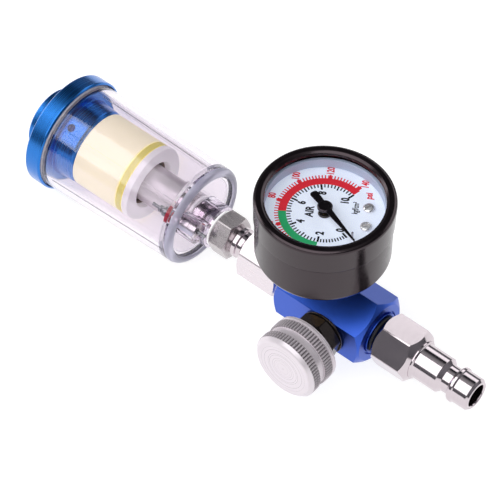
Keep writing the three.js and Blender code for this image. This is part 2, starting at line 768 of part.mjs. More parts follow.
function bourdonTube() {
  const startAngle = -83 * DEG;
  const middleZ = 31.5;
  const sweep = (thickness, height, from, to) => {
    const [inner, outer] = [bourdonR - thickness / 2, bourdonR + thickness / 2];
    const steps = 28;
    const shape = new THREE.Shape();
    const reach = (radius, k) => {
      const angle = from + (to - from) * k / steps;
      return [radius * Math.cos(angle), radius * Math.sin(angle)];
    };
    shape.moveTo(...reach(inner, 0));
    for (let k = 1; k <= steps; k += 1) shape.lineTo(...reach(inner, k));
    for (let k = steps; k >= 0; k -= 1) shape.lineTo(...reach(outer, k));
    shape.closePath();
    const geometry = new THREE.ExtrudeGeometry(shape, { depth: height, bevelEnabled: false });
    return shifted(geometry, 0, 0, middleZ - height / 2);
  };
  const wall = 0.4;
  const outside = sweep(1.8, 4.6, startAngle, bourdonTipAngle);
  const plugged = 6 * DEG;         // the tip end is closed
  const hollow = sweep(1.1, 4.6 - 2 * wall, startAngle - 1 * DEG, bourdonTipAngle - plugged);
  return cut(outside, hollow);
}

// Gear outline: teeth are plain trapezia, thinner than half the pitch so that the pair has play.
function gearOutline(teeth, from, count) {
  const pitch = TURN / teeth;
  const radius = toothModule * teeth / 2;
  const points = [];
  const rootR = radius - 1.25 * toothModule;
  const tipR = radius + 0.8 * toothModule;
  const put = (r, angle) => points.push([r * Math.cos(angle), r * Math.sin(angle)]);
  for (let k = 0; k < count; k += 1) {
    const middle = from + k * pitch;
    put(rootR, middle - pitch * 0.28);
    put(tipR, middle - pitch * 0.1);
    put(tipR, middle + pitch * 0.1);
    put(rootR, middle + pitch * 0.28);
  }
  return points;
}

function pinionArbor() {
  const halfTooth = Math.PI / pinionTeeth;
  const outline = gearOutline(pinionTeeth, sectorPlace + halfTooth, pinionTeeth);
  const teeth = plate(outline, sectorZ - GAP, sectorTopZ + GAP);
  return joined(teeth, rod('z', arborFootZ, pointerZ - GAP, arborR, 12));
}

function sectorGear() {
  const contact = sectorPlace + Math.PI;
  const pitch = TURN / sectorTeeth;
  const before = Math.ceil(sectorSwing / pitch) + 1;
  const teeth = gearOutline(sectorTeeth, contact - before * pitch, before + 2);
  const fan = plate([...teeth, [0, 0]], sectorZ, sectorTopZ);
  const hub = rod('z', sectorZ, sectorTopZ, 2 * arborHoleR, 16);
  const tail = box([0, -0.8, sectorZ], [tailLength + 0.8, 0.8, sectorTopZ]);
  tail.rotateZ(tailAngle);
  const arborHole = rod('z', sectorZ - 1, sectorTopZ + 1, arborHoleR, 12);
  const linkHole = rod('z', sectorZ - 1, sectorTopZ + 1, 0.35, 8);
  linkHole.translate(tailLength * Math.cos(tailAngle), tailLength * Math.sin(tailAngle), 0);
  return shifted(cut(joined(fan, hub, tail), arborHole, linkHole), sectorX, sectorY, 0);
}

function gaugeLink() {
  const tailX = sectorX + tailLength * Math.cos(tailAngle);
  const tailY = sectorY + tailLength * Math.sin(tailAngle);
  const pinAngle = bourdonTipAngle - 3 * DEG;
  const reachX = bourdonR * Math.cos(pinAngle) - tailX;
  const reachY = bourdonR * Math.sin(pinAngle) - tailY;
  const half = 0.7;
  const bottomZ = sectorTopZ + 0.4;
  const strip = box([-half, -half, bottomZ], [Math.hypot(reachX, reachY) + half, half, bottomZ + 0.5]);
  strip.rotateZ(Math.atan2(reachY, reachX));
  return shifted(strip, tailX, tailY, 0);
}

function hairspring() {
  const turns = 3.5;
  const [startR, endR] = [1.2, 4.0];
  const half = 0.08;
  const steps = 42;
  const shape = new THREE.Shape();
  const reach = (k, side) => {
    const angle = k / steps * turns * TURN;
    const radius = startR + (endR - startR) * k / steps + side * half;
    return [radius * Math.cos(angle), radius * Math.sin(angle)];
  };
  shape.moveTo(...reach(0, -1));
  for (let k = 1; k <= steps; k += 1) shape.lineTo(...reach(k, -1));
  for (let k = steps; k >= 0; k -= 1) shape.lineTo(...reach(k, 1));
  shape.closePath();
  return shifted(new THREE.ExtrudeGeometry(shape, { depth: 0.6, bevelEnabled: false }), 0, 0, 30);
}

function movementPlate(from, to) {
  const [left, right, bottom, top] = [-12, 6, -7.6, 2.8];
  const holes = [[0, 0, arborHoleR + 0.05], [sectorX, sectorY, arborHoleR + 0.05]];
  return plate([[left, bottom], [right, bottom], [right, top], [left, top]], from, to, holes);
}

function pointer() {
  const hubR = 2.35;
  const tipReach = 15.7;
  const tailReach = 6.6;
  const [tipHalf, neckHalf, waistHalf, tailHalf] = [0.12, 0.75, 0.95, 1.05];
  const neck = 2;
  const upperEdge = [[-tailReach, tailHalf], [-neck, waistHalf], [neck, neckHalf], [tipReach, tipHalf]];
  const lowerEdge = upperEdge.map(([x, y]) => [x, -y]).reverse();
  const blade = plate([...lowerEdge, ...upperEdge], pointerZ, pointerZ + 0.4);
  const cap = rod('z', pointerZ - 0.9, pointerZ + 0.6, hubR, 20);
  const whole = cut(joined(blade, cap), rod('z', pointerZ - 1, pointerZ, arborHoleR, 12));
  whole.rotateZ(zeroAngle);
  return whole;
}

function gaugeDial() {
  const edge = [];
  const sides = 28;
  for (let k = 0; k < sides; k += 1) {
    const angle = k / sides * TURN;
    edge.push([lensR * Math.cos(angle), lensR * Math.sin(angle)]);
  }
  const holes = [[0, 0, 2.0], ...dialScrews.map(([x, y]) => [x, y, 1.15])];
  return plate(edge, dialZ - 0.5, dialZ, holes);
}

function dialScrew() {
  const headZ = dialZ + GAP;
  const head = turned('z', [
    [headZ, 0], [headZ, 1.7], [headZ + 0.5, 1.5], [headZ + 0.9, 0.8], [headZ + 0.9, 0],
  ], 16);
  return joined(head, rod('z', dialZ - 5, headZ + 0.2, 0.7, 10));
}

const stopAngle = zeroAngle + 5.5 * DEG;
const stopR = 12.9;
const stopPlace = [stopR * Math.cos(stopAngle), stopR * Math.sin(stopAngle), 0];

add(gauge, 'gauge_stem_seal', tube('z', spotFaceZ + GAP, 10.9, threadBoreR, 6.4), fibre);
add(gauge, 'gauge_case', gaugeCase(), blackEnamel);
add(gauge, 'gauge_bezel', gaugeBezel(), blackEnamel);
add(gauge, 'gauge_lens', rod('z', 41.9, bezelTopZ - 1.87, lensR, 28), glass);
add(gauge, 'dial_spacer', tube('z', dialZ + GAP, 41.6, windowR, lensR, 28), whitePlastic);
add(works, 'gauge_socket', gaugeSocket(), brass);
add(works, 'gauge_dial', gaugeDial(), dialEnamel);
dialScrews.forEach(([x, y], k) => {
  add(works, `dial_screw_${k + 1}`, dialScrew(), nickel, [x, y, 0]);
});
add(works, 'pointer_stop_pin', rod('z', dialZ + GAP, 41.3, 0.3, 8), nickel, stopPlace);
add(works, 'gauge_pointer', pointer(), blackEnamel);
add(works, 'pinion_arbor', pinionArbor(), brass);
add(works, 'sector_gear', sectorGear(), brass);
add(works, 'sector_arbor', rod('z', arborFootZ, 35.9, arborR, 12), springSteel, [sectorX, sectorY, 0]);
add(works, 'gauge_link', gaugeLink(), brass);
add(works, 'bourdon_tube', bourdonTube(), brass);
add(works, 'hairspring', hairspring(), brass);
add(works, 'movement_plate_lower', movementPlate(27.3, 28.1), brass);
add(works, 'movement_plate_upper', movementPlate(35.3, 36.0), brass);
pillars.forEach(([x, y], k) => {
  add(works, `movement_pillar_${k + 1}`, rod('z', 28.4, 35.0, 1.1, 12), brass, [x, y, 0]);
});

export default model;
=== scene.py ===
"""Compressed-air regulator with a dial gauge, a quick-connect plug and a clear in-line water trap.

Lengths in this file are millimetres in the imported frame: X is the flow axis, the knob is on the -Y
side and the gauge faces +Z. Meshes are scaled to metres when they are made.
"""
import math

import bpy
from mathutils import Matrix, Vector


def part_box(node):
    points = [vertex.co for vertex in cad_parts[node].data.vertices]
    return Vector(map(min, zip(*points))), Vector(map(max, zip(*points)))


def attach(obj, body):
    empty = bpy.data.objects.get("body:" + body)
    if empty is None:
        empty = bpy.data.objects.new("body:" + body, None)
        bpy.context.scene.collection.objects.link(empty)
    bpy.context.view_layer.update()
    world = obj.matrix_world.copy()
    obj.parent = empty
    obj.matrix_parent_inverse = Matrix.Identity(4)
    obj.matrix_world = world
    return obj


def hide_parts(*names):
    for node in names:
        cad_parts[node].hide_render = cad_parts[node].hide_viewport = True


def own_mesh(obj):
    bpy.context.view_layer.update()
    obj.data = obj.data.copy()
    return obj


bl_info = {
    "name": "Air Regulator Builder",
    "version": (1, 0, 0),
    "blender": (4, 5, 0),
    "location": "View3D > Sidebar > Regulator",
    "description": "Builds a compressed-air regulator with a gauge and a water trap round its packed frame",
    "category": "Object",
}

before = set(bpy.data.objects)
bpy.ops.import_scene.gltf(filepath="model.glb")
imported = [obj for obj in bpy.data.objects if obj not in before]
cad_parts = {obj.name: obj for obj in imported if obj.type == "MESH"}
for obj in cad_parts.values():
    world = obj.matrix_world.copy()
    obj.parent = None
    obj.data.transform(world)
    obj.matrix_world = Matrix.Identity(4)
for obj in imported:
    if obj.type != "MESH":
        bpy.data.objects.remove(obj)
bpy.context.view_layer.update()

MM = 0.001
TURN = 2 * math.pi
HOUSING = "housing"


def low(node, axis):
    """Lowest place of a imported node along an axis, in millimetres."""
    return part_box(node)[0][axis] / MM


def high(node, axis):
    """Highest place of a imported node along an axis, in millimetres."""
    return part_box(node)[1][axis] / MM


def middle(node, axis):
    """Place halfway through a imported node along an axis, in millimetres."""
    return (low(node, axis) + high(node, axis)) / 2


X, Y, Z = 0, 1, 2
GAUGE_X = middle("gauge_case", X)
KNOB_X = middle("adjusting_knob", X)
DRAIN_Y = middle("drain_valve_body", Y)
DRAIN_Z = middle("drain_valve_body", Z)
FLOOR_Z = low("filter_cap", Z)
# The dial's own upright, from +X, and the pointer's rest from there.
DIAL_TURN = math.radians(121.75)
POINTER_REST = math.radians(220.75)
KNOB_R = 11.4
# Where the bowl is matt: up to the end of its lip, and beyond the start of its foot outside a radius.
BOWL_LIP_END = 12.95
BOWL_FOOT_START = 63.4
BOWL_FOOT_RADIUS = 14.35
# Height of printed ink.
INK = 0.03
# Places of the colour sockets on a Mix node.
MIX_FIRST, MIX_SECOND, MIX_RESULT = 6, 7, 2
PAINT = {}
TREES = {}


# ---- colours and materials ---------------------------------------------------------------------
def linear(code):
    """An sRGB hex colour as linear RGBA."""
    values = [int(code[i:i + 2], 16) / 255 for i in (1, 3, 5)]
    return [v / 12.92 if v <= 0.04045 else ((v + 0.055) / 1.055) ** 2.4 for v in values] + [1.0]


def put(tree, kind, inputs=(), **settings):
    """Adds a node. Settings name its properties or sockets, and inputs are (socket, source).

    A source is another node's output, a plain value, or a sum as nested (operation, first, second).
    """
    node = tree.nodes.new(kind)
    for key, value in settings.items():
        if hasattr(node, key):
            setattr(node, key, value)
        else:
            node.inputs[key.replace("_", " ")].default_value = value
    for socket, source in inputs:
        if isinstance(source, tuple) and isinstance(source[0], str):
            source = put(tree, "ShaderNodeMath", enumerate(source[1:]), operation=source[0]).outputs[0]
        if isinstance(source, bpy.types.NodeSocket):
            tree.links.new(source, node.inputs[socket])
        else:
            node.inputs[socket].default_value = source
    return node


def new_material(name):
    """An empty material, kept under its name in PAINT. Returns its tree and its output node."""
    material = PAINT[name] = bpy.data.materials.new(name)
    material.use_nodes = True
    tree = material.node_tree
    tree.nodes.clear()
    return tree, put(tree, "ShaderNodeOutputMaterial")


def opaque_material(name, colour, **sockets):
    """A material of one shader, which holds the values that are the same all over."""
    tree, output = new_material(name)
    shader = put(tree, "ShaderNodeBsdfPrincipled", [("Base Color", colour)], **sockets)
    tree.links.new(shader.outputs[0], output.inputs["Surface"])
    return tree, shader


def about_axis(tree, axis, centre):
    """Object coordinates turned into (place along an axis, distance from it, 0), in millimetres."""
    place = put(tree, "ShaderNodeTexCoord").outputs["Object"]
    centred = put(tree, "ShaderNodeVectorMath", [(0, place), (1, [c * MM for c in centre])],
                  operation="SUBTRACT").outputs[0]
    along = [float(i == axis) for i in range(3)]
    across = [float(i != axis) for i in range(3)]
    lift = put(tree, "ShaderNodeVectorMath", [(0, centred), (1, along)], operation="DOT_PRODUCT")
    flat = put(tree, "ShaderNodeVectorMath", [(0, centred), (1, across)], operation="MULTIPLY")
    reach = put(tree, "ShaderNodeVectorMath", [(0, flat.outputs[0])], operation="LENGTH")
    joined_up = put(tree, "ShaderNodeCombineXYZ", [(0, lift.outputs["Value"]), (1, reach.outputs["Value"])])
    return put(tree, "ShaderNodeVectorMath", [(0, joined_up.outputs[0])], operation="SCALE",
               Scale=1 / MM).outputs[0]


def object_mm(tree, stretch=(1, 1, 1)):
    """Object coordinates in millimetres, stretched along the axes."""
    place = put(tree, "ShaderNodeTexCoord").outputs["Object"]
    return put(tree, "ShaderNodeVectorMath", [(0, place), (1, [s / MM for s in stretch])],
               operation="MULTIPLY").outputs[0]


def grain(tree, shader, where, spacing, depth, mottle=0.05):
    """Noise with a spacing and a depth in millimetres, as bump, roughness and a slight change of colour."""
    noise = put(tree, "ShaderNodeTexNoise", [("Vector", where)], Scale=1 / spacing, Detail=3.0).outputs["Fac"]
    bump = put(tree, "ShaderNodeBump", [("Height", noise)], Distance=depth * MM, Strength=1.0)
    tree.links.new(bump.outputs[0], shader.inputs["Normal"])
    rough = shader.inputs["Roughness"].default_value
    spread = put(tree, "ShaderNodeMapRange", [("Value", noise)],
                 From_Min=0.3, From_Max=0.7, To_Min=rough * 0.75, To_Max=rough * 1.3)
    tree.links.new(spread.outputs[0], shader.inputs["Roughness"])
    colour = list(shader.inputs["Base Color"].default_value)
    darker, lighter = ([min(1.0, c * (1 + side * mottle)) for c in colour[:3]] + [1.0] for side in (-1, 1))
    mottled = put(tree, "ShaderNodeMix", [(0, noise), (MIX_FIRST, darker), (MIX_SECOND, lighter)],
                  data_type="RGBA")
    tree.links.new(mottled.outputs[MIX_RESULT], shader.inputs["Base Color"])


def turned_metal(name, colour, roughness, axis, centre, spacing, depth, metallic=1.0, **sockets):
    """Metal from a lathe: fine tool marks run round the axis."""
    tree, shader = opaque_material(name, colour, Metallic=metallic, Roughness=roughness, **sockets)
    grain(tree, shader, about_axis(tree, axis, centre), spacing, depth)


def milled_metal(name, colour, roughness, stretch, spacing, depth, metallic=1.0, **sockets):
    """Metal with straight or cloudy grain in object space."""
    tree, shader = opaque_material(name, colour, Metallic=metallic, Roughness=roughness, **sockets)
    grain(tree, shader, object_mm(tree, stretch), spacing, depth)


def moulded(name, colour, roughness, spacing, depth, painted_glow=0.0, mottle=0.03, **sockets):
    """Moulded, sintered or enamelled surface. Painted_glow is painted light, an even emission on top of the
    lit colour that stands for light that has passed through the piece.
    """
    tree, shader = opaque_material(
        name, colour, Roughness=roughness, Emission_Color=colour, Emission_Strength=painted_glow, **sockets)
    grain(tree, shader, object_mm(tree), spacing, depth, mottle)


def clear_moulding(name, colour):
    """Clear moulding whose lip in the cap and foot are matt, so that they scatter light as pale bands."""
    most_matt, clear_roughness, ior = 0.55, 0.02, 1.49
    tree, output = new_material(name)
    place = put(tree, "ShaderNodeSeparateXYZ", [(0, about_axis(tree, X, (0, 0, 0)))])
    along, radius = place.outputs["X"], place.outputs["Y"]
    foot = put(tree, "ShaderNodeMath", [
        (0, ("GREATER_THAN", along, BOWL_FOOT_START)), (1, ("GREATER_THAN", radius, BOWL_FOOT_RADIUS))],
        operation="MULTIPLY").outputs[0]
    matt = put(tree, "ShaderNodeMath", [
        (0, ("ADD", ("LESS_THAN", along, BOWL_LIP_END), foot)), (1, most_matt)],
        operation="MULTIPLY").outputs[0]
    tint = put(tree, "ShaderNodeMix", [(0, foot), (MIX_FIRST, colour), (MIX_SECOND, linear("#c3c1d6"))],
               data_type="RGBA")
    shader = put(tree, "ShaderNodeBsdfPrincipled", [
        ("Base Color", tint.outputs[MIX_RESULT]), ("Transmission Weight", ("SUBTRACT", 1.0, matt)),
        ("Roughness", ("ADD", ("MULTIPLY", matt, 0.5), clear_roughness))], IOR=ior)
    tree.links.new(shader.outputs[0], output.inputs["Surface"])
    thick = put(tree, "ShaderNodeVolumeAbsorption", [("Color", linear("#b3a6c6"))], Density=26.0)
    tree.links.new(thick.outputs[0], output.inputs["Volume"])


def knurled_metal(name, colour):
    """Turned metal with painted shade: the valleys of the knurl are painted a darker grey."""
    tree, shader = opaque_material(name, colour, Metallic=0.4, Roughness=0.3)
    where = about_axis(tree, Y, (KNOB_X, 0, 0))
    grain(tree, shader, where, 0.45, 0.0004, 0.01)
    plain = shader.inputs["Base Color"].links[0].from_socket
    radius = put(tree, "ShaderNodeSeparateXYZ", [(0, where)]).outputs["Y"]
    knurled = put(tree, "ShaderNodeAttribute", attribute_name="knurl").outputs["Fac"]
    # Painted shade: on the knurled bands the colour turns towards grey #7d777b as the surface sinks into the
    # knurl's valleys.
    crest, valley_depth = KNOB_R - 0.05, 0.4
    sunk = ("DIVIDE", ("SUBTRACT", crest, radius), valley_depth)
    valley_shade = ("MULTIPLY", ("MINIMUM", 1.0, ("MAXIMUM", 0.0, sunk)), knurled)
    shaded = put(tree, "ShaderNodeMix", [(0, valley_shade), (MIX_FIRST, plain), (MIX_SECOND, linear("#7d777b"))],
                 data_type="RGBA")
    tree.links.new(shaded.outputs[MIX_RESULT], shader.inputs["Base Color"])


def flat_glass(name):
    """Flat glass: clear, with a mirror-like share on its outer faces that grows towards grazing angles."""
    tree, output = new_material(name)
    clear = put(tree, "ShaderNodeBsdfTransparent", [("Color", linear("#fafcfe"))])
    gloss = put(tree, "ShaderNodeBsdfAnisotropic", Roughness=0.03)
    fresnel = put(tree, "ShaderNodeFresnel", IOR=1.33).outputs[0]
    inner_face = put(tree, "ShaderNodeNewGeometry").outputs["Backfacing"]
    share = ("MULTIPLY", fresnel, ("SUBTRACT", 1.0, inner_face))
    mix = put(tree, "ShaderNodeMixShader", [(0, share), (1, clear.outputs[0]), (2, gloss.outputs[0])])
    tree.links.new(mix.outputs[0], output.inputs["Surface"])


def make_materials(colours):
    """Every finish on the part, named for its material and how its surface was made.

    Comments say what each gives the eye. Real tool marks and grain are finer than these, which are drawn
    as coarse as they need to be to show.
    """
    warm = linear("#ffe6f0")
    # Saturated blue with rings of fine tool marks that break the highlight into thin bands.
    turned_metal("anodised_aluminium_turned", colours.cap, 0.27, X, (0, 0, 0), 0.16, 0.004,
                 Coat_Weight=0.3, Coat_Roughness=0.2)
    # Violet-blue with a long fine grain along the drawn bar.
    milled_metal("anodised_aluminium_bar", colours.body, 0.36, (0.25, 1, 1), 0.12, 0.0006,
                 Coat_Weight=0.35, Coat_Roughness=0.25)
    # Glassy, with the faint warm-violet cast of thick clear plastic.
    clear_moulding("polycarbonate_moulded", colours.bowl)
    # Matt pale cream grit that light soaks into, with painted light, an even emission, for the light that
    # comes through it.
    moulded("polyethylene_sintered", colours.element, 0.85, 0.4, 0.01, 0.44, Specular_IOR_Level=0.2)
    # Pale translucent yellow, with painted light, an even emission, for light through it.
    moulded("polypropylene_moulded", linear("#fbf08a"), 0.45, 0.8, 0.004, 0.14)
    # Milky white moulding, with painted light, an even emission, for light through it.
    moulded("acetal_moulded", linear("#fdfafc"), 0.4, 0.9, 0.004, 0.26)
    # Matt black rubber.
    moulded("nitrile_rubber_moulded", linear("#1b1b1d"), 0.6, 0.5, 0.02)
    # Black rubber painted brown-tan: painted shade seen inside the element's bore.
    moulded("nitrile_rubber_painted_shade", linear("#6a5442"), 0.5, 0.5, 0.01)
    # Clear strong red, with faint painted light, an even emission.
    moulded("silicone_rubber_moulded", linear("#c8203c"), 0.4, 0.4, 0.02, 0.1)
    # Warm grey plate over machined brass, lightly streaked.
    milled_metal("nickel_plate_satin", linear("#b9b2b4"), 0.26, (0.2, 1, 1), 1.4, 0.001)
    # Nearly white plate, a little pink under soft light.
    milled_metal("nickel_plate_bright", linear("#dfd6db"), 0.26, (0.2, 1, 1), 1.6, 0.001)
    # A near mirror with slight waviness from polishing.
    turned_metal("chrome_plate_polished", linear("#cbc1c6"), 0.11, X, (0, 0, 0), 0.6, 0.0012)
    # Pale satin tube with a soft broad highlight along it.
    milled_metal("aluminium_drawn", linear("#dcd6da"), 0.42, (0.1, 1, 1), 0.6, 0.002, 0.75)
    # Yellow metal with a cloudy cut surface.
    milled_metal("brass_machined", linear("#b5975a"), 0.32, (1, 1, 1), 0.5, 0.008)
    # Pale and a little warm, with a soft shine.
    milled_metal("zinc_plate_bright", linear("#f0eae6"), 0.28, (1, 1, 1), 1.2, 0.002, 0.8)
    # Grey wire with a dull shine.
    milled_metal("spring_steel_drawn", linear("#9a9ca0"), 0.3, (1, 1, 1), 0.4, 0.005)
    # Dark and oily, brown in the light.
    milled_metal("steel_black_oxide", linear("#544d4a"), 0.2, (1, 1, 1), 2.0, 0.002, 0.85)
    # Dull red-brown card.
    moulded("vulcanised_fibre_pressed", linear("#8c4a34"), 0.8, 0.4, 0.03)
    # Pale silver face with rings about the knob's axis, crisp ridges, and painted shade in the knurl's
    # valleys.
    knurled_metal("aluminium_turned", colours.knob)
    # Warm near-black with soft broad reflections.
    moulded("enamel_sprayed_case", colours.case, 0.2, 1.2, 0.001,
            Specular_IOR_Level=0.52, Specular_Tint=warm)
    # A deeper black with a thin bright edge.
    moulded("enamel_sprayed_black", linear("#0f0c0e"), 0.16, 1.2, 0.001,
            Specular_IOR_Level=0.6, Specular_Tint=warm)
    # Cool white, matt and even, brightened by painted light, an even emission.
    moulded("enamel_sprayed_white", colours.dial, 0.5, 0.7, 0.002, 0.2, 0.01)
    # White wall painted blue-grey: painted shade of the bezel over it.
    moulded("enamel_wall_painted_shade", linear("#bcc4d6"), 0.5, 0.7, 0.002)
    # Flat printed inks. The red and the green carry faint painted light, an even emission.
    moulded("ink_printed_black", linear("#08080a"), 0.5, 0.3, 0.002)
    moulded("ink_printed_red", linear("#e0202f"), 0.5, 0.3, 0.002, 0.15)
    moulded("ink_printed_green", linear("#22a864"), 0.5, 0.3, 0.002, 0.12)
    # Clear and thin, with a bright sheen at low angles.
    flat_glass("glass_float")
    # Pale paper that stays white under the part.
    moulded("paper_matt", linear("#b4b4b4"), 0.9, 3.0, 0.01, 1.66)


# ---- mesh helpers ------------------------------------------------------------------------------
def softened(outline, edge, ring, steps=3):
    """The outline with every corner rounded, and a holding point beside each rounding."""
    points = [Vector(p) for p in outline]
    count = len(points)
    result = []
    for i, corner in enumerate(points):
        if not ring and i in (0, count - 1):
            result.append(corner)
            continue
        before, after = points[i - 1] - corner, points[(i + 1) % count] - corner
        reach = min(edge, before.length * 0.4, after.length * 0.4)
        if reach < 0.01 or abs(before.angle(after, math.pi) - math.pi) < 0.05:
            result.append(corner)
            continue
        first, last = corner + before.normalized() * reach, corner + after.normalized() * reach
        result.append(corner + before.normalized() * reach * 1.2)
        for k in range(steps + 1):
            t = k / steps
            result.append(first * (1 - t) ** 2 + corner * 2 * t * (1 - t) + last * t ** 2)
        result.append(corner + after.normalized() * reach * 1.2)
    return [tuple(p) for p in result]


def placed(along, radius, angle, axis, centre):
    """A point on a turned surface. Angle 0 is +Z on the X and Y axes, and +X on the Z axis."""
    a, b = radius * math.cos(angle), radius * math.sin(angle)
    if axis == X:
        return (along, centre[1] - b, centre[2] + a)
    if axis == Y:
        return (centre[0] + b, along, centre[2] + a)
    return (centre[0] + a, centre[1] + b, along)


def mesh_object(name, points, faces, material, smooth=35):
    """A mesh from points in millimetres, facing out, with edges sharper than an angle kept sharp."""
    mesh = bpy.data.meshes.new(name)
    mesh.from_pydata([[c * MM for c in p] for p in points], [], faces)
    mesh.materials.append(material)
    mesh.validate()
    obj = bpy.data.objects.new(name, mesh)
    bpy.context.scene.collection.objects.link(obj)
    face_out(obj)
    mesh.shade_smooth()
    mesh.set_sharp_from_angle(angle=math.radians(smooth))
    return obj


def face_out(obj):
    """Turns every face outwards on a closed mesh."""
    mesh = obj.data
    volume = 0.0
    for face in mesh.polygons:
        corners = [mesh.vertices[i].co for i in face.vertices]
        for k in range(1, len(corners) - 1):
            volume += corners[0].dot(corners[k].cross(corners[k + 1]))
    if volume < 0:
        mesh.flip_normals()


def swept(profile_at, angles, axis, centre, ring):
    """A surface whose outline may change round the axis. Returns its points and faces."""
    points, faces = [], []
    rows = []
    poles = {}
    for angle in angles:
        row = []
        for i, (along, radius) in enumerate(profile_at(angle)):
            if radius <= 1e-6:
                if i not in poles:
                    poles[i] = len(points)
                    points.append(placed(along, 0, 0, axis, centre))
                row.append(poles[i])
            else:
                row.append(len(points))
                points.append(placed(along, radius, angle, axis, centre))
        rows.append(row)
    for j, row in enumerate(rows):
        following = rows[(j + 1) % len(rows)]
        last = len(row) if ring else len(row) - 1
        for i in range(last):
            k = (i + 1) % len(row)
            corners = [row[i], row[k], following[k], following[i]]
            face = [c for n, c in enumerate(corners) if c not in corners[:n]]
            if len(face) > 2:
                faces.append(face)
    return points, faces


def turned(name, axis, outline, material, centre=(0, 0, 0), segments=96, edge=0.15):
    """A turned mesh from (place along the axis, radius) points. One that starts off the axis is a ring."""
    ring = outline[0][1] > 0
    profile = softened(outline, edge, ring)
    angles = [k / segments * TURN for k in range(segments)]
    points, faces = swept(lambda angle: profile, angles, axis, centre, ring)
    return mesh_object(name, points, faces, material)


def hexagon(name, axis, start, end, flats, bevel, face, phase, material, centre=(0, 0, 0), bore=0.0,
            blunt=0.12):
    """A hexagon nut or bar: milled flats on a blank whose two ends are turned to a cone."""
    corner = flats / math.sqrt(3)
    crest = corner - blunt
    slope = bevel / (crest + 0.3 - face)

    def profile_at(angle):
        """The outline at an angle: a flat, cut back to the round blank and to its cones."""
        off = (angle - phase + math.pi / 6) % (math.pi / 3) - math.pi / 6
        flat = (flats / 2) / math.cos(abs(off) - math.pi / 6)
        radius = min(flat, crest)
        cut = max(radius - face, 0.02) * slope
        outer = [(start, min(face, radius - 0.02)), (start + cut, radius), (end - cut, radius),
                 (end, min(face, radius - 0.02))]
        inner = [(end, bore), (start, bore)] if bore else [(end, 0)]
        return ([] if bore else [(start, 0)]) + outer + inner

    blunt_angle = math.pi / 6 - math.acos(min(1, flats / 2 / crest))
    steps = [0.0, blunt_angle] + [blunt_angle + (math.pi / 6 - blunt_angle) * k / 5 for k in range(1, 6)]
    half = steps + [math.pi / 3 - s for s in reversed(steps[1:-1])]
    angles = [phase + side * math.pi / 3 + s for side in range(6) for s in half]
    points, faces = swept(profile_at, angles, axis, centre, bool(bore))
    return mesh_object(name, points, faces, material, smooth=22)


def joined(name, *objects):
    """Several objects as one mesh."""
    first = objects[0]
    with bpy.context.temp_override(active_object=first, selected_editable_objects=list(objects)):
        bpy.ops.object.join()
    first.name = name
    first.data.name = name
    return first


def boolean(obj, operation, tool):
    """Cuts or joins with another object, which is then deleted."""
    modifier = obj.modifiers.new("shape", "BOOLEAN")
    modifier.operation, modifier.object, modifier.solver = operation, tool, "EXACT"
    applied(obj)
    bpy.data.objects.remove(tool)
    obj.data.shade_smooth()
    obj.data.set_sharp_from_angle(angle=math.radians(32))
    return obj


def applied(obj):
    """The evaluated shape becomes the object's own plain mesh."""
    bpy.context.view_layer.update()
    result = bpy.data.meshes.new_from_object(obj.evaluated_get(bpy.context.evaluated_depsgraph_get()))
    obj.modifiers.clear()
    obj.data = result
    result.name = obj.name
    return obj


def fitted(obj, body, slot, *nodes):
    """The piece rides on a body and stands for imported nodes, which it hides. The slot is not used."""
    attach(obj, body)
    if nodes:
        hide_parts(*nodes)
    return obj


def lathed(name, axis, outline, finish, slot, *nodes, body=HOUSING, centre=(0, 0, 0), segments=96,
           edge=0.15):
    """A turned piece in its finish, fitted to a body."""
    return fitted(turned(name, axis, outline, PAINT[finish], centre, segments, edge), body, slot, *nodes)


def bored(obj, axis, start, end, radius, centre=(0, 0, 0)):
    """Cuts a round bore along an axis, between two places."""
    tool = turned("bore", axis, [(start, 0), (start, radius), (end, radius), (end, 0)],
                  obj.data.materials[0], centre, 64, 0)
    return boolean(obj, "DIFFERENCE", tool)


# ---- geometry node trees -----------------------------------------------------------------------
def node_tree(name, inputs):
    """A Geometry Nodes tree with a geometry input, named number inputs, a material and an output."""
    tree = bpy.data.node_groups.new(name, "GeometryNodeTree")
    tree.interface.new_socket("Geometry", in_out="INPUT", socket_type="NodeSocketGeometry")
    for label, kind in inputs:
        tree.interface.new_socket(label, in_out="INPUT", socket_type="NodeSocket" + kind)
    tree.interface.new_socket("Material", in_out="INPUT", socket_type="NodeSocketMaterial")
    tree.interface.new_socket("Geometry", in_out="OUTPUT", socket_type="NodeSocketGeometry")
    start = tree.nodes.new("NodeGroupInput")
    end = tree.nodes.new("NodeGroupOutput")
    return tree, start, end


def close_tree(tree, start, end, geometry):
    """Ends a tree: instances made real, then the material."""
    whole = put(tree, "GeometryNodeRealizeInstances", [("Geometry", geometry)])
    coloured = put(tree, "GeometryNodeSetMaterial",
                   [("Geometry", whole.outputs[0]), ("Material", start.outputs["Material"])])
    tree.links.new(coloured.outputs[0], end.inputs[0])
    return tree


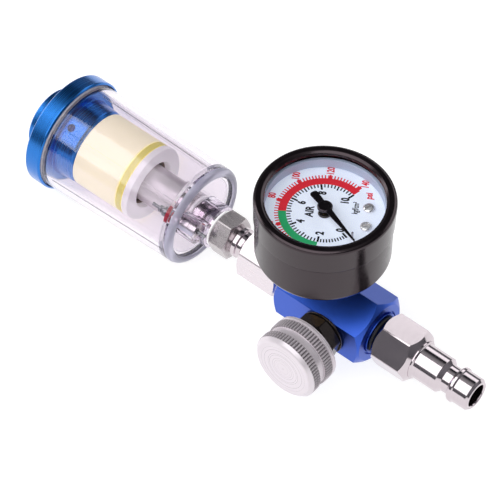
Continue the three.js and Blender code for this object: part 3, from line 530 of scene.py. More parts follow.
def marks_tree():
    """Small bars set out round an arc, pointing at its centre."""
    tree, start, end = node_tree("marks_round_an_arc", [
        ("Count", "Int"), ("Start Angle", "Float"), ("Step Angle", "Float"), ("Radius", "Float"),
        ("Length", "Float"), ("Width", "Float"), ("Height", "Float"), ("Place", "Vector")])
    points = put(tree, "GeometryNodePoints", [("Count", start.outputs["Count"])])
    index = put(tree, "GeometryNodeInputIndex").outputs[0]
    radius, step = start.outputs["Radius"], start.outputs["Step Angle"]
    angle = put(tree, "ShaderNodeMath", [(0, start.outputs["Start Angle"]), (1, ("MULTIPLY", index, step))],
                operation="ADD").outputs[0]
    offset = put(tree, "ShaderNodeCombineXYZ", [
        (0, ("MULTIPLY", radius, ("COSINE", angle))), (1, ("MULTIPLY", radius, ("SINE", angle)))])
    place = put(tree, "ShaderNodeVectorMath", [(0, offset.outputs[0]), (1, start.outputs["Place"])],
                operation="ADD")
    spread = put(tree, "GeometryNodeSetPosition",
                 [("Geometry", points.outputs[0]), ("Position", place.outputs[0])])
    size = put(tree, "ShaderNodeCombineXYZ", [
        (0, start.outputs["Length"]), (1, start.outputs["Width"]), (2, start.outputs["Height"])])
    bar = put(tree, "GeometryNodeMeshCube", [("Size", size.outputs[0])])
    turn = put(tree, "ShaderNodeCombineXYZ", [(2, angle)])
    bars = put(tree, "GeometryNodeInstanceOnPoints", [
        ("Points", spread.outputs[0]), ("Instance", bar.outputs[0]), ("Rotation", turn.outputs[0])])
    return close_tree(tree, start, end, bars.outputs[0])


def coil_tree():
    """A coil of wire along Z, used for springs and, with few sides, for screw threads."""
    tree, start, end = node_tree("coil_of_wire", [
        ("Turns", "Float"), ("Radius", "Float"), ("Length", "Float"), ("Wire Radius", "Float"),
        ("Steps", "Int"), ("Sides", "Int"), ("Twist", "Float")])
    spiral = put(tree, "GeometryNodeCurveSpiral", [
        ("Resolution", start.outputs["Steps"]), ("Rotations", start.outputs["Turns"]),
        ("Start Radius", start.outputs["Radius"]), ("End Radius", start.outputs["Radius"]),
        ("Height", start.outputs["Length"])])
    section = put(tree, "GeometryNodeCurvePrimitiveCircle", [
        ("Resolution", start.outputs["Sides"]), ("Radius", start.outputs["Wire Radius"])])
    turn = put(tree, "ShaderNodeCombineXYZ", [(2, start.outputs["Twist"])])
    turned_section = put(tree, "GeometryNodeTransform", [
        ("Geometry", section.outputs[0]), ("Rotation", turn.outputs[0])])
    wire = put(tree, "GeometryNodeCurveToMesh", [
        ("Curve", spiral.outputs[0]), ("Profile Curve", turned_section.outputs[0]), ("Fill Caps", True)])
    return close_tree(tree, start, end, wire.outputs[0])


def knurl_tree():
    """Straight knurling: points marked for it are moved in and out as a wave round the Y axis."""
    tree, start, end = node_tree(
        "straight_knurl", [("Ridges", "Int"), ("Depth", "Float"), ("Centre", "Vector")])
    position = put(tree, "GeometryNodeInputPosition").outputs[0]
    offset = put(tree, "ShaderNodeVectorMath", [(0, position), (1, start.outputs["Centre"])],
                 operation="SUBTRACT")
    parts = put(tree, "ShaderNodeSeparateXYZ", [(0, offset.outputs[0])])
    turns = ("DIVIDE", ("ARCTAN2", parts.outputs[0], parts.outputs[2]), TURN)
    wave = ("PINGPONG", ("MULTIPLY", turns, start.outputs["Ridges"]), 0.5)
    mask = put(tree, "GeometryNodeInputNamedAttribute", [("Name", "knurl")], data_type="FLOAT")
    depth = ("MULTIPLY", ("MULTIPLY", wave, mask.outputs[0]), ("MULTIPLY", start.outputs["Depth"], -2.0))
    flat = put(tree, "ShaderNodeVectorMath", [(0, offset.outputs[0]), (1, (1, 0, 1))], operation="MULTIPLY")
    outward = put(tree, "ShaderNodeVectorMath", [(0, flat.outputs[0])], operation="NORMALIZE")
    move = put(tree, "ShaderNodeVectorMath", [(0, outward.outputs[0]), ("Scale", depth)], operation="SCALE")
    moved = put(tree, "GeometryNodeSetPosition", [
        ("Geometry", start.outputs["Geometry"]), ("Offset", move.outputs[0])])
    return close_tree(tree, start, end, moved.outputs[0])


def grown(name, tree, material, base=None, smooth=None, **inputs):
    """Runs a tree on an object and keeps the result as a plain mesh."""
    obj = base or bpy.data.objects.new(name, bpy.data.meshes.new(name))
    if base is None:
        bpy.context.scene.collection.objects.link(obj)
    modifier = obj.modifiers.new(tree.name, "NODES")
    modifier.node_group = tree
    sockets = {s.name: s.identifier for s in tree.interface.items_tree if s.in_out == "INPUT"}
    for key, value in inputs.items():
        modifier[sockets[key.replace("_", " ")]] = value
    modifier[sockets["Material"]] = material
    applied(obj)
    obj.data.materials.clear()
    obj.data.materials.append(material)
    if smooth:
        obj.data.shade_smooth()
        obj.data.set_sharp_from_angle(angle=math.radians(smooth))
    return obj


def marks(name, material, count, start, step, inner, outer, width, place):
    """Printed or raised bars round the dial, from angles in degrees and sizes in millimetres."""
    return grown(
        name, TREES["marks"], material, Count=count, Start_Angle=math.radians(start),
        Step_Angle=math.radians(step), Radius=(inner + outer) / 2 * MM, Length=(outer - inner) * MM,
        Width=width * MM, Height=INK * MM, Place=[c * MM for c in place])


def coil(name, material, axis, start, end, radius, wire, turns, centre=(0, 0, 0), steps=24, sides=10,
         twist=0.0, smooth=40):
    """A coil along an axis between two places, made from the coil tree and laid in its place."""
    obj = grown(
        name, TREES["coil"], material, smooth=smooth, Turns=turns, Radius=radius * MM,
        Length=(end - start) * MM, Wire_Radius=wire * MM, Steps=steps, Sides=sides, Twist=twist)
    if axis == X:
        lay = Matrix.Rotation(math.pi / 2, 4, "Y")
    elif axis == Y:
        lay = Matrix.Rotation(-math.pi / 2, 4, "X")
    else:
        lay = Matrix.Identity(4)
    base = [c * MM for c in centre]
    base[axis] = start * MM
    obj.data.transform(Matrix.Translation(base) @ lay)
    face_out(obj)
    return obj


# ---- filter ------------------------------------------------------------------------------------
def build_cap():
    """Blue cap: hub, flange, inner spigot with cross holes, and the threaded tool port."""
    blue = "anodised_aluminium_turned"
    hub_r, flange_r = 11.1, high("filter_cap", Y)
    flange, flange_end = 6.5, 12.55
    skirt_r, thread_r = 18.8, 15.9
    groove, thread_end = 6.8, 13.75
    spigot_r, spigot_bore = 12.9, 9.1
    inner_end = high("filter_cap", X)
    inner_face, stub_r = 18.3, 7.0
    port_r, port_end = 5.9, 12.0
    gallery_r, gallery_end = 4.0, 17.4
    cross_hole_x, cross_hole_r = 15.8, 1.3
    cap = turned("filter_cap_blue", X, [
        (0, port_r + 0.5), (0, hub_r - 0.5), (0.5, hub_r), (flange, hub_r),
        (flange, flange_r - 0.5), (flange + 0.5, flange_r), (flange_end - 0.5, flange_r),
        (flange_end, flange_r - 0.5), (flange_end, skirt_r), (groove, skirt_r), (groove, thread_r),
        (thread_end, thread_r), (thread_end, spigot_r + 0.6), (inner_end - 1, spigot_r),
        (inner_end, spigot_r - 1),
        (inner_end, spigot_bore), (inner_face, spigot_bore), (inner_face, stub_r), (inner_end, stub_r),
        (inner_end, 4.5), (inner_end, 1.0), (gallery_end, 1.0), (gallery_end, gallery_r),
        (port_end, gallery_r), (port_end, port_r), (0.5, port_r),
    ], PAINT[blue], edge=0.2, segments=128)
    for angle in (30, 150, 270):
        hole = turned("hole", Z, [(6, 0), (6, cross_hole_r), (14, cross_hole_r), (14, 0)], PAINT[blue],
                      segments=32, edge=0)
        hole.data.transform(
            Matrix.Translation((cross_hole_x * MM, 0, 0)) @ Matrix.Rotation(math.radians(angle), 4, "X"))
        boolean(cap, "DIFFERENCE", hole)
    thread = coil("tool_port_thread", PAINT[blue], X, 1.2, 11.2, port_r + 0.1, 0.55, 7.5, steps=40, sides=3)
    fitted(cap, HOUSING, "blue_anodised", "filter_cap")
    fitted(thread, HOUSING, "blue_anodised")
    lathed("cap_seal", X, [(6.85, 16.9), (7.0, 17.9), (7.9, 18.1), (8.1, 17.0), (7.5, 16.6)],
           "acetal_moulded", "black_rubber", "cap_seal_ring", edge=0.3)


def build_bowl(sizes):
    """Clear bowl: a shell with a thick foot ring, a sunk end, a neck and the drain boss."""
    clear = PAINT["polycarbonate_moulded"]
    start, end = low("filter_bowl", X), 65.3
    lip_end, lip_step = 12.55, 0.05
    open_r, foot_r = high("filter_bowl", Y), 17.15
    wall = sizes.bowl_wall / MM
    recess, wall_face = 64.4, 61.4
    neck_r, neck_end, bore_r = 7.3, high("filter_bowl", X), 5.15
    boss_r, boss_bore = 3.9, 2.75
    foot_in, foot_round = foot_r - wall - 0.3, 2
    rib_start, rib_end, rib_width, rib_flank = 17.0, 62.5, 1.2, 0.1
    rib_count, rib_rise = sizes.bowl_ribs, sizes.rib_rise / MM
    rib_phase = math.radians(38)
    outline = [(start, open_r - wall), (start, open_r), (lip_end, open_r - lip_step)]
    slope = (open_r - lip_step - foot_r) / (end - foot_round - lip_end)
    for along in (rib_start, rib_start + 0.15, rib_end - 0.15, rib_end, end - foot_round):
        outline.append((along, open_r - lip_step - slope * (along - lip_end)))
    for k in range(1, 7):
        angle = k / 6 * math.pi / 2
        outline.append((
            end - foot_round * (1 - math.sin(angle)), foot_r - foot_round * (1 - math.cos(angle))))
    outline += [
        (end, 14.8), (recess, 14.3), (recess, neck_r), (neck_end, neck_r), (neck_end, bore_r),
        (wall_face, bore_r), (wall_face, foot_in - 1.2), (wall_face - 1.2, foot_in)]
    profile = softened(outline, 0.25, True)

    def profile_at(angle):
        """The outline at an angle, raised on the outer face where a rib runs."""
        off = (angle - rib_phase + math.pi / rib_count) % (TURN / rib_count) - math.pi / rib_count
        across = abs(off) * foot_r
        rise = rib_rise * min(1, max(0, (rib_width / 2 + rib_flank - across) / rib_flank))
        return [(x, r + rise if rib_start + 0.1 < x < rib_end - 0.1 and r > foot_r - 0.1 else r)
                for x, r in profile]

    edges = [side * (rib_width / 2 + extra) / foot_r for side in (-1, 1) for extra in (0, rib_flank)]
    angles = sorted(
        [k / 120 * TURN for k in range(120)]
        + [(rib_phase + n * TURN / rib_count + e) % TURN for n in range(rib_count) for e in edges])
    points, faces = swept(profile_at, angles, X, (0, 0, 0), True)
    bowl = mesh_object("filter_bowl_clear", points, faces, clear, 25)
    centre = (0, DRAIN_Y, DRAIN_Z)
    boss = turned("boss", X, [(62.5, 0), (62.5, boss_r), (71.0, boss_r), (71.0, 0)], clear, centre, 48, 0.2)
    boolean(bowl, "UNION", boss)
    bored(bowl, X, wall_face - 1, 72, boss_bore, centre)
    bored(bowl, X, wall_face - 1, 80, bore_r)
    fitted(bowl, HOUSING, "clear_polycarbonate", "filter_bowl")


def build_filter_inside():
    """Element, band, retainer, lip seal and standpipe, seen through the bowl."""
    element_r, element_bore = high("filter_element", Y), 9.2
    for name, node, finish_and_slot, edge in (
            ("element_cream", "filter_element", ("polyethylene_sintered", "sintered_element"), 0.4),
            ("band_yellow", "element_band", ("polypropylene_moulded", "yellow_plastic"), 0.2)):
        start, end = low(node, X), high(node, X)
        lathed(name, X, [(start, element_bore), (start, element_r), (end, element_r), (end, element_bore)],
               *finish_and_slot, node, edge=edge)
    start, end = low("element_retainer", X), high("element_retainer", X)
    rim, rim_r = 42.3, high("element_retainer", Y)
    lathed("retainer_white", X, [
        (start, 8.2), (start, 8.9), (rim, 8.9), (rim, rim_r), (end, rim_r), (end, 8.2)],
        "acetal_moulded", "white_plastic", "element_retainer", edge=0.3)
    # The black lip seal is painted brown-tan, as painted shade inside the element.
    lathed("lip_seal_black", X, [(40.2, 6.7), (40.2, 7.9), (42.6, 7.9), (42.6, 7.0)],
           "nitrile_rubber_painted_shade", "black_rubber", "element_lip_seal", edge=0.2)
    start, end = low("standpipe", X), high("standpipe", X)
    lathed("standpipe_tube", X, [(start, 4.9), (start, 6.4), (end, 6.4), (end, 5.05), (54, 5.05), (54, 4.9)],
           "aluminium_drawn", "polished_chrome", "standpipe", edge=0.3)
    lathed("standpipe_seal_black", X, [(60.1, 5.05), (60.1, 6.3), (61.1, 6.3), (61.1, 5.05)],
           "acetal_moulded", "black_rubber", "standpipe_seal", edge=0.2)


def build_drain():
    """Push-to-drain valve: body, red seal, pin and spring."""
    centre = (0, DRAIN_Y, DRAIN_Z)
    pin_r, pin_end = 0.55, high("drain_pin", X)
    lathed("drain_body", X, [
        (61.6, 0.9), (61.6, 2.4), (64.4, 2.4), (64.4, 2.1), (65.0, 2.1), (65.0, 2.4), (67.6, 2.4),
        (67.6, 2.1), (68.2, 2.1), (68.2, 2.4), (70.3, 2.4), (70.3, 0.9), (69.4, 0.9), (69.4, 1.7),
        (63.2, 1.7), (63.2, 0.9)],
        "nickel_plate_bright", "brass", "drain_valve_body", centre=centre, segments=48, edge=0.1)
    lathed("drain_seal_red", X, [(59.3, 1.0), (59.3, 2.0), (60.2, 2.6), (61.3, 2.4), (61.3, 1.0)],
           "silicone_rubber_moulded", "red_rubber", "drain_seal", centre=centre, segments=48, edge=0.2)
    lathed("drain_pin_bright", X, [
        (52.5, 0), (52.5, pin_r), (55.4, pin_r), (55.4, 1.1), (56.3, 1.1), (56.3, pin_r), (57.3, pin_r),
        (57.3, 1.6), (59.0, 1.6), (59.0, pin_r), (68.0, pin_r), (68.0, 1.3), (68.8, 1.3), (68.8, pin_r),
        (pin_end, pin_r), (pin_end, 0)],
        "spring_steel_drawn", "brass", "drain_pin",
        body="drain_plunger", centre=centre, segments=32, edge=0.12)
    spring = coil("drain_spring_wire", PAINT["spring_steel_drawn"], X, 63.7, 67.5, 1.1, 0.2, 4, centre)
    fitted(spring, HOUSING, "spring_steel", "drain_spring")
    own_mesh(spring)


def build_coupling():
    """Filter nipple, its washer, the swivel nut and the spigot it turns on."""
    nut = hexagon("nipple_hexagon", X, 72.4, 78.9, 12.9, 0.7, 6.2, math.pi + math.radians(20.8),
                  PAINT["nickel_plate_satin"], bore=4.0)
    fitted(nut, HOUSING, "satin_nickel", "filter_nipple")
    lathed("nipple_stem", X, [
        (56, 2.6), (56, 4.5), (56.3, 4.75), (72.5, 4.75), (72.5, 4.6), (78.8, 4.6), (79.6, 4.6),
        (80.0, 5.1), (81.4, 5.1), (81.8, 4.5), (83.2, 4.5), (83.6, 4.75), (91.5, 4.75), (91.8, 4.4),
        (91.8, 2.6)], "chrome_plate_polished", "satin_nickel", edge=0.12)
    lathed("nipple_washer_fibre", X, [(71.5, 5.05), (71.5, 6.3), (72.1, 6.3), (72.1, 5.05)],
           "acetal_moulded", "fibre_washer", "nipple_washer")
    start, end = low("swivel_nut", X), high("swivel_nut", X)
    nut = hexagon("swivel_nut_hexagon", X, start, end, 15.8, 1.1, 7.3, math.pi - math.radians(4.6),
                  PAINT["nickel_plate_bright"], bore=5.0)
    fitted(nut, "coupling_nut", "satin_nickel", "swivel_nut")
    lathed("spigot_ring", X, [(100.6, 4.95), (100.6, 6.4), (101.6, 6.4), (101.6, 4.95)],
           "chrome_plate_polished", "satin_nickel", "spigot_washer", edge=0.2)


# ---- regulator ---------------------------------------------------------------------------------
def build_body():
    """Blue hexagonal body with its boss, spot face and bores."""
    blue = PAINT["anodised_aluminium_bar"]
    start, end = low("regulator_body", X), 135.5
    groove_start, boss_r, groove_r, boss_end = 134.9, 7.0, 7.7, 136.0
    body = hexagon("regulator_body_blue", X, start, end, 21.1, 1.8, 9.9, math.pi, blue, blunt=0.06)
    groove = turned("groove", X, [
        (groove_start, boss_r), (groove_start, groove_r), (137, groove_r), (137, boss_r)],
        blue, segments=64, edge=0)
    boolean(body, "DIFFERENCE", groove)
    boss = turned("boss", X, [(134, 0), (134, boss_r), (boss_end, boss_r), (boss_end, 0)], blue, segments=64)
    boolean(body, "UNION", boss)
    for axis, near, far, radius, centre in (
            (X, 130, 140, 5.05, (0, 0, 0)), (X, 100, 107.5, 4.9, (0, 0, 0)),
            (Z, 9.6, 14, 7.4, (GAUGE_X, 0, 0)), (Z, 4.6, 14, 5.05, (GAUGE_X, 0, 0)),
            (Y, -12, 1.6, 6.0, (KNOB_X, 0, 0))):
        bored(body, axis, near, far, radius, centre)
    bevel = body.modifiers.new("edge", "BEVEL")
    bevel.width, bevel.segments, bevel.limit_method = 0.12 * MM, 2, "ANGLE"
    bevel.angle_limit = math.radians(28)
    bevel.harden_normals = True
    applied(body)
    fitted(body, HOUSING, "blue_anodised", "regulator_body")


def build_bonnet():
    """Black bonnet, its washer, and the two springs on the knob's axis."""
    centre = (KNOB_X, 0, 0)
    thread_bore, thread_r = 4.75, 5.7
    nut = hexagon("bonnet_hexagon", Y, low("bonnet", Y) + 3.2, -11.7, 14, 0.6, 6.6, math.radians(13),
                  PAINT["steel_black_oxide"], centre, bore=thread_bore)
    fitted(nut, HOUSING, "black_oxide", "bonnet")
    lathed("bonnet_neck", Y, [(-19.2, 4.0), (-19.2, 5.4), (-15.9, 5.4), (-15.9, 4.0)],
           "steel_black_oxide", "black_oxide", centre=centre, segments=64)
    lathed("bonnet_thread", Y, [
        (-11.9, thread_bore), (-11.9, thread_r), (-6.5, thread_r), (-6.5, thread_bore)],
        "steel_black_oxide", "black_oxide", centre=centre, segments=64)
    lathed("bonnet_washer_plated", Y, [(-11.4, 6.0), (-11.4, 7.6), (-10.85, 7.6), (-10.85, 6.0)],
           "steel_black_oxide", "satin_nickel", "bonnet_washer", centre=centre, edge=0.12)
    spring = coil("range_spring_wire", PAINT["spring_steel_drawn"], Y, -13.5, -4.5, 3.7, 0.5, 5, centre,
                  steps=26)
    fitted(spring, HOUSING, "spring_steel", "range_spring")
    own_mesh(spring)
    spring = coil("poppet_spring_wire", PAINT["spring_steel_drawn"], Y, 5.95, 8.65, 1.9, 0.25, 3.5, centre)
    fitted(spring, HOUSING, "spring_steel", "poppet_spring")
    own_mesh(spring)


def build_knob(sizes):
    """Adjusting knob with two knurled bands, a groove and a hollow back."""
    front, back = low("adjusting_knob", Y), high("adjusting_knob", Y)
    knob_r, groove_r, hollow_r, bore_r = KNOB_R, 10.4, 8.6, 3.4
    floor, bore_end = -23.6, -28.6
    front_band_end, back_band_start, back_band_end = -25.7, -23.1, -20.0
    outline = [
        (front, 0), (front, knob_r - 1.5), (front + 0.25, knob_r - 1.05), (front + 1.1, knob_r - 0.25),
        (front + 1.35, knob_r), (front_band_end - 0.05, knob_r), (front_band_end, groove_r),
        (back_band_start, groove_r), (back_band_start + 0.05, knob_r), (back_band_end - 0.05, knob_r),
        (back_band_end, knob_r - 0.35), (-19.6, knob_r - 0.35), (-19.5, knob_r - 0.1),
        (back, knob_r - 0.1), (back, hollow_r), (floor, hollow_r), (floor, bore_r), (bore_end, bore_r),
        (bore_end, 0)]
    ridges = sizes.knurl_ridges
    segments = ridges * 6
    profile = softened(outline, 0.12, False, 2)
    angles = [k / segments * TURN for k in range(segments)]
    centre = (KNOB_X, 0, 0)
    finish = PAINT["aluminium_turned"]
    points, faces = swept(lambda angle: profile, angles, Y, centre, False)
    knob = mesh_object("knob_knurled", points, faces, finish)
    marked = knob.data.attributes.new("knurl", "FLOAT", "POINT")
    for vertex, flag in zip(knob.data.vertices, marked.data):
        x, y, z = (c / MM for c in vertex.co)
        banded = front + 1.3 < y < front_band_end or back_band_start < y < back_band_end - 0.02
        flag.value = 1.0 if banded and math.hypot(x - KNOB_X, z) > knob_r - 0.2 else 0.0
    grown("knob_knurled", TREES["knurl"], finish, knob, 30,
          Ridges=ridges, Depth=sizes.knurl_depth, Centre=[c * MM for c in centre])
    fitted(knob, "knob_and_screw", "turned_aluminium", "adjusting_knob")


def build_plug():
    """Quick-connect plug: hexagon, cylinder, neck, bead and tip, with the air bore."""
    bore, seal_r, neck_r, bead_r, tip_r = 3.7, 4.75, 4.5, 5.9, 5.45
    cylinder_r, shoulder_r, end = 5.85, 6.5, high("inlet_plug", X)
    nut = hexagon("plug_hexagon", X, low("inlet_plug", X) + 7.4, 151.5, 15.97, 2.3, 6.7,
                  math.pi + math.radians(23.5), PAINT["chrome_plate_polished"], bore=bore)
    fitted(nut, HOUSING, "polished_chrome", "inlet_plug")
    lathed("plug_stem", X, [
        (129.9, bore), (129.9, 4.35), (130.4, seal_r), (137.4, seal_r), (137.4, 4.9), (151.4, 4.9),
        (151.4, shoulder_r), (151.9, shoulder_r), (152.3, cylinder_r), (160.6, cylinder_r),
        (162.1, neck_r), (164.8, neck_r), (165.2, 5.6), (165.7, bead_r), (166.5, bead_r), (167.0, tip_r),
        (171.7, tip_r), (end, 4.7), (end, 3.9), (end - 0.3, bore)],
        "chrome_plate_polished", "polished_chrome")
    # The washer is drawn in black rubber as painted shade: it stands for the dark gap between the boss and
    # the hexagon.
    lathed("inlet_washer", X, [(136.3, 5.05), (136.3, 6.3), (137.0, 6.3), (137.0, 5.05)],
           "nitrile_rubber_moulded", "fibre_washer", "inlet_seal_washer")


# ---- gauge -------------------------------------------------------------------------------------
def build_gauge_case():
    """Enamelled case and bezel, inner wall, glass and the socket below."""
    centre = (GAUGE_X, 0, 0)
    case_r, floor, seam = high("gauge_case", Y), low("gauge_case", Z), 35.4
    socket_r, wall = 5.3, 1.0
    bezel_r, top = high("gauge_bezel", Y), high("gauge_bezel", Z)
    window_r, lens_r, bezel_bore = 18.1, 19.1, 19.5
    lathed("gauge_case_black", Z, [
        (floor, socket_r), (floor, case_r - 1.6), (floor + 0.5, case_r - 0.5), (floor + 1.6, case_r),
        (seam, case_r), (seam, case_r - 0.7), (seam + 1.6, case_r - 0.7), (seam + 1.6, case_r - 1.7),
        (seam - 2, case_r - 1.7), (seam - 2.7, case_r - wall), (floor + 1.2, case_r - wall),
        (floor + 1.2, socket_r)],
        "enamel_sprayed_case", "black_enamel", "gauge_case", centre=centre, segments=144, edge=0.4)
    lathed("gauge_bezel_black", Z, [
        (seam + 0.3, case_r - 0.4), (seam + 0.3, bezel_r - 0.25), (top - 1.0, bezel_r),
        (top - 0.35, bezel_r - 0.2), (top, bezel_r - 0.9), (top, window_r + 1.0),
        (top - 0.5, window_r + 0.1), (top - 1.5, window_r), (top - 1.5, bezel_bore),
        (seam + 2.2, bezel_bore), (seam + 2.2, case_r - 0.4)],
        "enamel_sprayed_black", "black_enamel", "gauge_bezel", centre=centre, segments=144, edge=0.2)
    lathed("gauge_glass_flat", Z, [(41.9, 0), (41.9, lens_r), (43.0, lens_r), (43.0, 0)],
           "glass_float", "lens_glass", "gauge_lens", centre=centre)
    # The white wall takes a blue-grey colour, which is painted shade of the bezel.
    lathed("dial_wall_white", Z, [(38.3, window_r), (38.3, lens_r), (41.6, lens_r), (41.6, window_r)],
           "enamel_wall_painted_shade", "white_plastic", "dial_spacer", centre=centre, edge=0.1)
    socket = hexagon("socket_hexagon", Z, 11.2, 20.6, 12, 0.7, 5.8, DIAL_TURN,
                     PAINT["brass_machined"], centre)
    fitted(socket, HOUSING, "brass")


def around(radius, angle):
    """A place on the dial from its middle, at a radius and an angle in radians."""
    return radius * math.cos(angle), radius * math.sin(angle)


def text_mesh(name, words, size, place, material, narrow=0.8, bold=0.0):
    """Printed words, upright in the dial's own frame and centred on a place in millimetres."""
    curve = bpy.data.curves.new(name, "FONT")
    curve.body, curve.size = words, size
    curve.align_x, curve.align_y = "CENTER", "CENTER"
    curve.extrude, curve.offset = INK / 2, bold
    curve.resolution_u = 4
    text = bpy.data.objects.new(name, curve)
    bpy.context.scene.collection.objects.link(text)
    bpy.context.view_layer.update()
    mesh = bpy.data.meshes.new_from_object(text.evaluated_get(bpy.context.evaluated_depsgraph_get()))
    bpy.data.objects.remove(text)
    xs = [v.co.x for v in mesh.vertices]
    ys = [v.co.y for v in mesh.vertices]
    centre = Vector(((min(xs) + max(xs)) / 2, (min(ys) + max(ys)) / 2, 0))
    mesh.transform(
        Matrix.Scale(MM, 4) @ Matrix.Translation((GAUGE_X, 0, high("gauge_dial", Z) + INK / 2))
        @ Matrix.Rotation(DIAL_TURN, 4, "Z") @ Matrix.Translation((place[0], place[1], 0))
        @ Matrix.Diagonal((narrow, 1, 1, 1)) @ Matrix.Translation(-centre))
    mesh.materials.clear()
    mesh.materials.append(material)
    obj = bpy.data.objects.new(name, mesh)
    bpy.context.scene.collection.objects.link(obj)
    return obj


def arc_band(name, inner, outer, start, end, material):
    """A printed band between two angles, in degrees of the dial's own frame."""
    steps = max(8, round(abs(end - start) / 2))
    top = high("gauge_dial", Z)
    points, faces = [], []
    for k in range(steps + 1):
        angle = math.radians(start + (end - start) * k / steps) + DIAL_TURN
        for radius, lift in ((inner, 0), (outer, 0), (outer, INK), (inner, INK)):
            points.append((GAUGE_X + radius * math.cos(angle), radius * math.sin(angle), top + lift))
    for k in range(steps):
        base = 4 * k
        for i in range(4):
            j = (i + 1) % 4
            faces.append((base + i, base + j, base + 4 + j, base + 4 + i))
    faces += [(3, 2, 1, 0), (4 * steps, 4 * steps + 1, 4 * steps + 2, 4 * steps + 3)]
    return mesh_object(name, points, faces, material)


# The metric scale: its first mark, and degrees for each unit up to 2 and beyond it.
SCALE_START, FIRST_UNIT, LATER_UNIT = 222.25, 22.8, 27.35
PSI_PER_UNIT = 14.2233


def scale_angle(value):
    """Dial angle in degrees of a pressure in kgf per square centimetre."""
    return SCALE_START - FIRST_UNIT * min(value, 2) - LATER_UNIT * max(value - 2, 0)


def psi_angle(value):
    """Dial angle in degrees of a pressure in psi, from where the red scale starts."""
    return scale_angle(2) - (value - 2 * PSI_PER_UNIT) * (LATER_UNIT / PSI_PER_UNIT)


def build_dial():
    """Dial with its printed scales, the pointer, screws and stop pin."""
    centre = (GAUGE_X, 0, 0)
    low_z, top = low("gauge_dial", Z), high("gauge_dial", Z)
    dial_r, dial_bore = 19.1, 2.0
    lathed("dial_plate", Z, [(low_z, dial_bore), (low_z, dial_r), (top, dial_r), (top, dial_bore)],
           "enamel_sprayed_white", "dial_enamel", "gauge_dial", centre=centre, segments=128, edge=0.05)
    black, red, green = (PAINT["ink_printed_" + c] for c in ("black", "red", "green"))
    band_in, band_out = 11.5, 13.9
    fitted(arc_band("band_green", band_in, band_out, scale_angle(2), scale_angle(5), green),
           HOUSING, "dial_enamel")
    fitted(arc_band("band_red", band_in, band_out, scale_angle(5), scale_angle(10), red),
           HOUSING, "dial_enamel")
    place = (GAUGE_X, 0, top + INK / 2)
    turn = math.degrees(DIAL_TURN)
    tick_out = 11.45
    pieces = [
        marks(name, black, count, scale_angle(first) + turn, -step, inner, tick_out, width, place)
        for name, count, first, step, inner, width in (
            ("ticks_first", 11, 0, FIRST_UNIT / 5, 10.2, 0.42),
            ("ticks_rest", 41, 2, LATER_UNIT / 5, 10.2, 0.42),
            ("ticks_first_long", 2, 0, FIRST_UNIT * 2, 9.3, 0.62),
            ("ticks_rest_long", 5, 2, LATER_UNIT * 2, 9.3, 0.62),
            ("ticks_middle", 4, 3, LATER_UNIT * 2, 9.8, 0.46))]
    for value in range(0, 12, 2):
        spot = around(8.0, math.radians(scale_angle(value)))
        pieces.append(text_mesh(f"number_{value}", str(value), 3.3, spot, black, 0.74, 0.16))
    pieces.append(text_mesh("caption", "AIR", 3.4, (0, 4.6), black, 0.8, 0.12))
    pieces.append(text_mesh("unit_metric", "kgf/cm²", 2.6, (3.5, -9.1), black, 0.62, 0.06))
    fitted(joined("dial_print_black", *pieces), HOUSING, "dial_enamel")
    per_psi = LATER_UNIT / PSI_PER_UNIT
    pieces = [
        marks("psi_ticks", red, 56, psi_angle(31) + turn, -2 * per_psi, 13.8, 15.1, 0.4, place),
        marks("psi_long", red, 6, psi_angle(40) + turn, -20 * per_psi, 13.8, 15.4, 0.55, place)]
    # The red numbers stand beside their marks, at places from +X in degrees.
    for number, world in (("60", -126), ("80", -163.7), ("100", 159.4), ("120", 122.9), ("140", 83.4)):
        spot = around(17.1, math.radians(world - turn))
        pieces.append(text_mesh("psi_" + number, number, 3.1, spot, red, 0.66, 0.11))
    spot = around(15.4, math.radians(66.7 - turn))
    pieces.append(text_mesh("unit_psi", "psi", 2.9, spot, red, 0.8, 0.1))
    fitted(joined("dial_print_red", *pieces), HOUSING, "dial_enamel")
    # The bush that carries the arbor shows as a dull disc in the dial's hole.
    lathed("dial_bush", Z, [(36.2, 0.95), (36.2, 1.85), (38.5, 1.85), (38.5, 0.95)],
           "steel_black_oxide", "brass", centre=centre, segments=48, edge=0.1)
    for number, side in ((1, -1), (2, 1)):
        build_dial_screw(number, -math.pi / 2 + side * math.radians(16) + DIAL_TURN)
    across, up = around(12.9, POINTER_REST + math.radians(5.5) + DIAL_TURN)
    lathed("stop_pin", Z, [(38.3, 0), (38.3, 0.35), (41.2, 0.35), (41.2, 0)],
           "nickel_plate_satin", "satin_nickel", "pointer_stop_pin",
           centre=(GAUGE_X + across, up, 0), segments=24, edge=0.1)
    build_pointer(centre)


def build_dial_screw(number, angle):
    """A domed screw head with a slot, on the dial at an angle."""
    across, up = around(13.35, angle)
    spot = (GAUGE_X + across, up, 0)
    head = turned(f"dial_screw_head_{number}", Z, [
        (38.3, 0), (38.3, 1.85), (38.6, 1.85), (39.0, 1.45), (39.2, 0.7), (39.2, 0)],
        PAINT["zinc_plate_bright"], spot, 48, 0.12)
    slot = slot_cutter((-2.1, -0.3, 38.85), (2.1, 0.3, 39.6), spot, angle + 0.6)
    boolean(head, "DIFFERENCE", slot)
    fitted(head, HOUSING, "satin_nickel", f"dial_screw_{number}")


def slot_cutter(start, end, centre, turn):
    """A box turned about an upright axis through a centre, for cutting a slot."""
    corners = [(x, y, z) for x in (start[0], end[0]) for y in (start[1], end[1]) for z in (start[2], end[2])]
    faces = [(0, 1, 3, 2), (4, 6, 7, 5), (0, 4, 5, 1), (2, 3, 7, 6), (0, 2, 6, 4), (1, 5, 7, 3)]
    c, s = math.cos(turn), math.sin(turn)
    points = [(centre[0] + x * c - y * s, centre[1] + x * s + y * c, centre[2] + z) for x, y, z in corners]
    return mesh_object("slot", points, faces, PAINT["enamel_sprayed_black"])


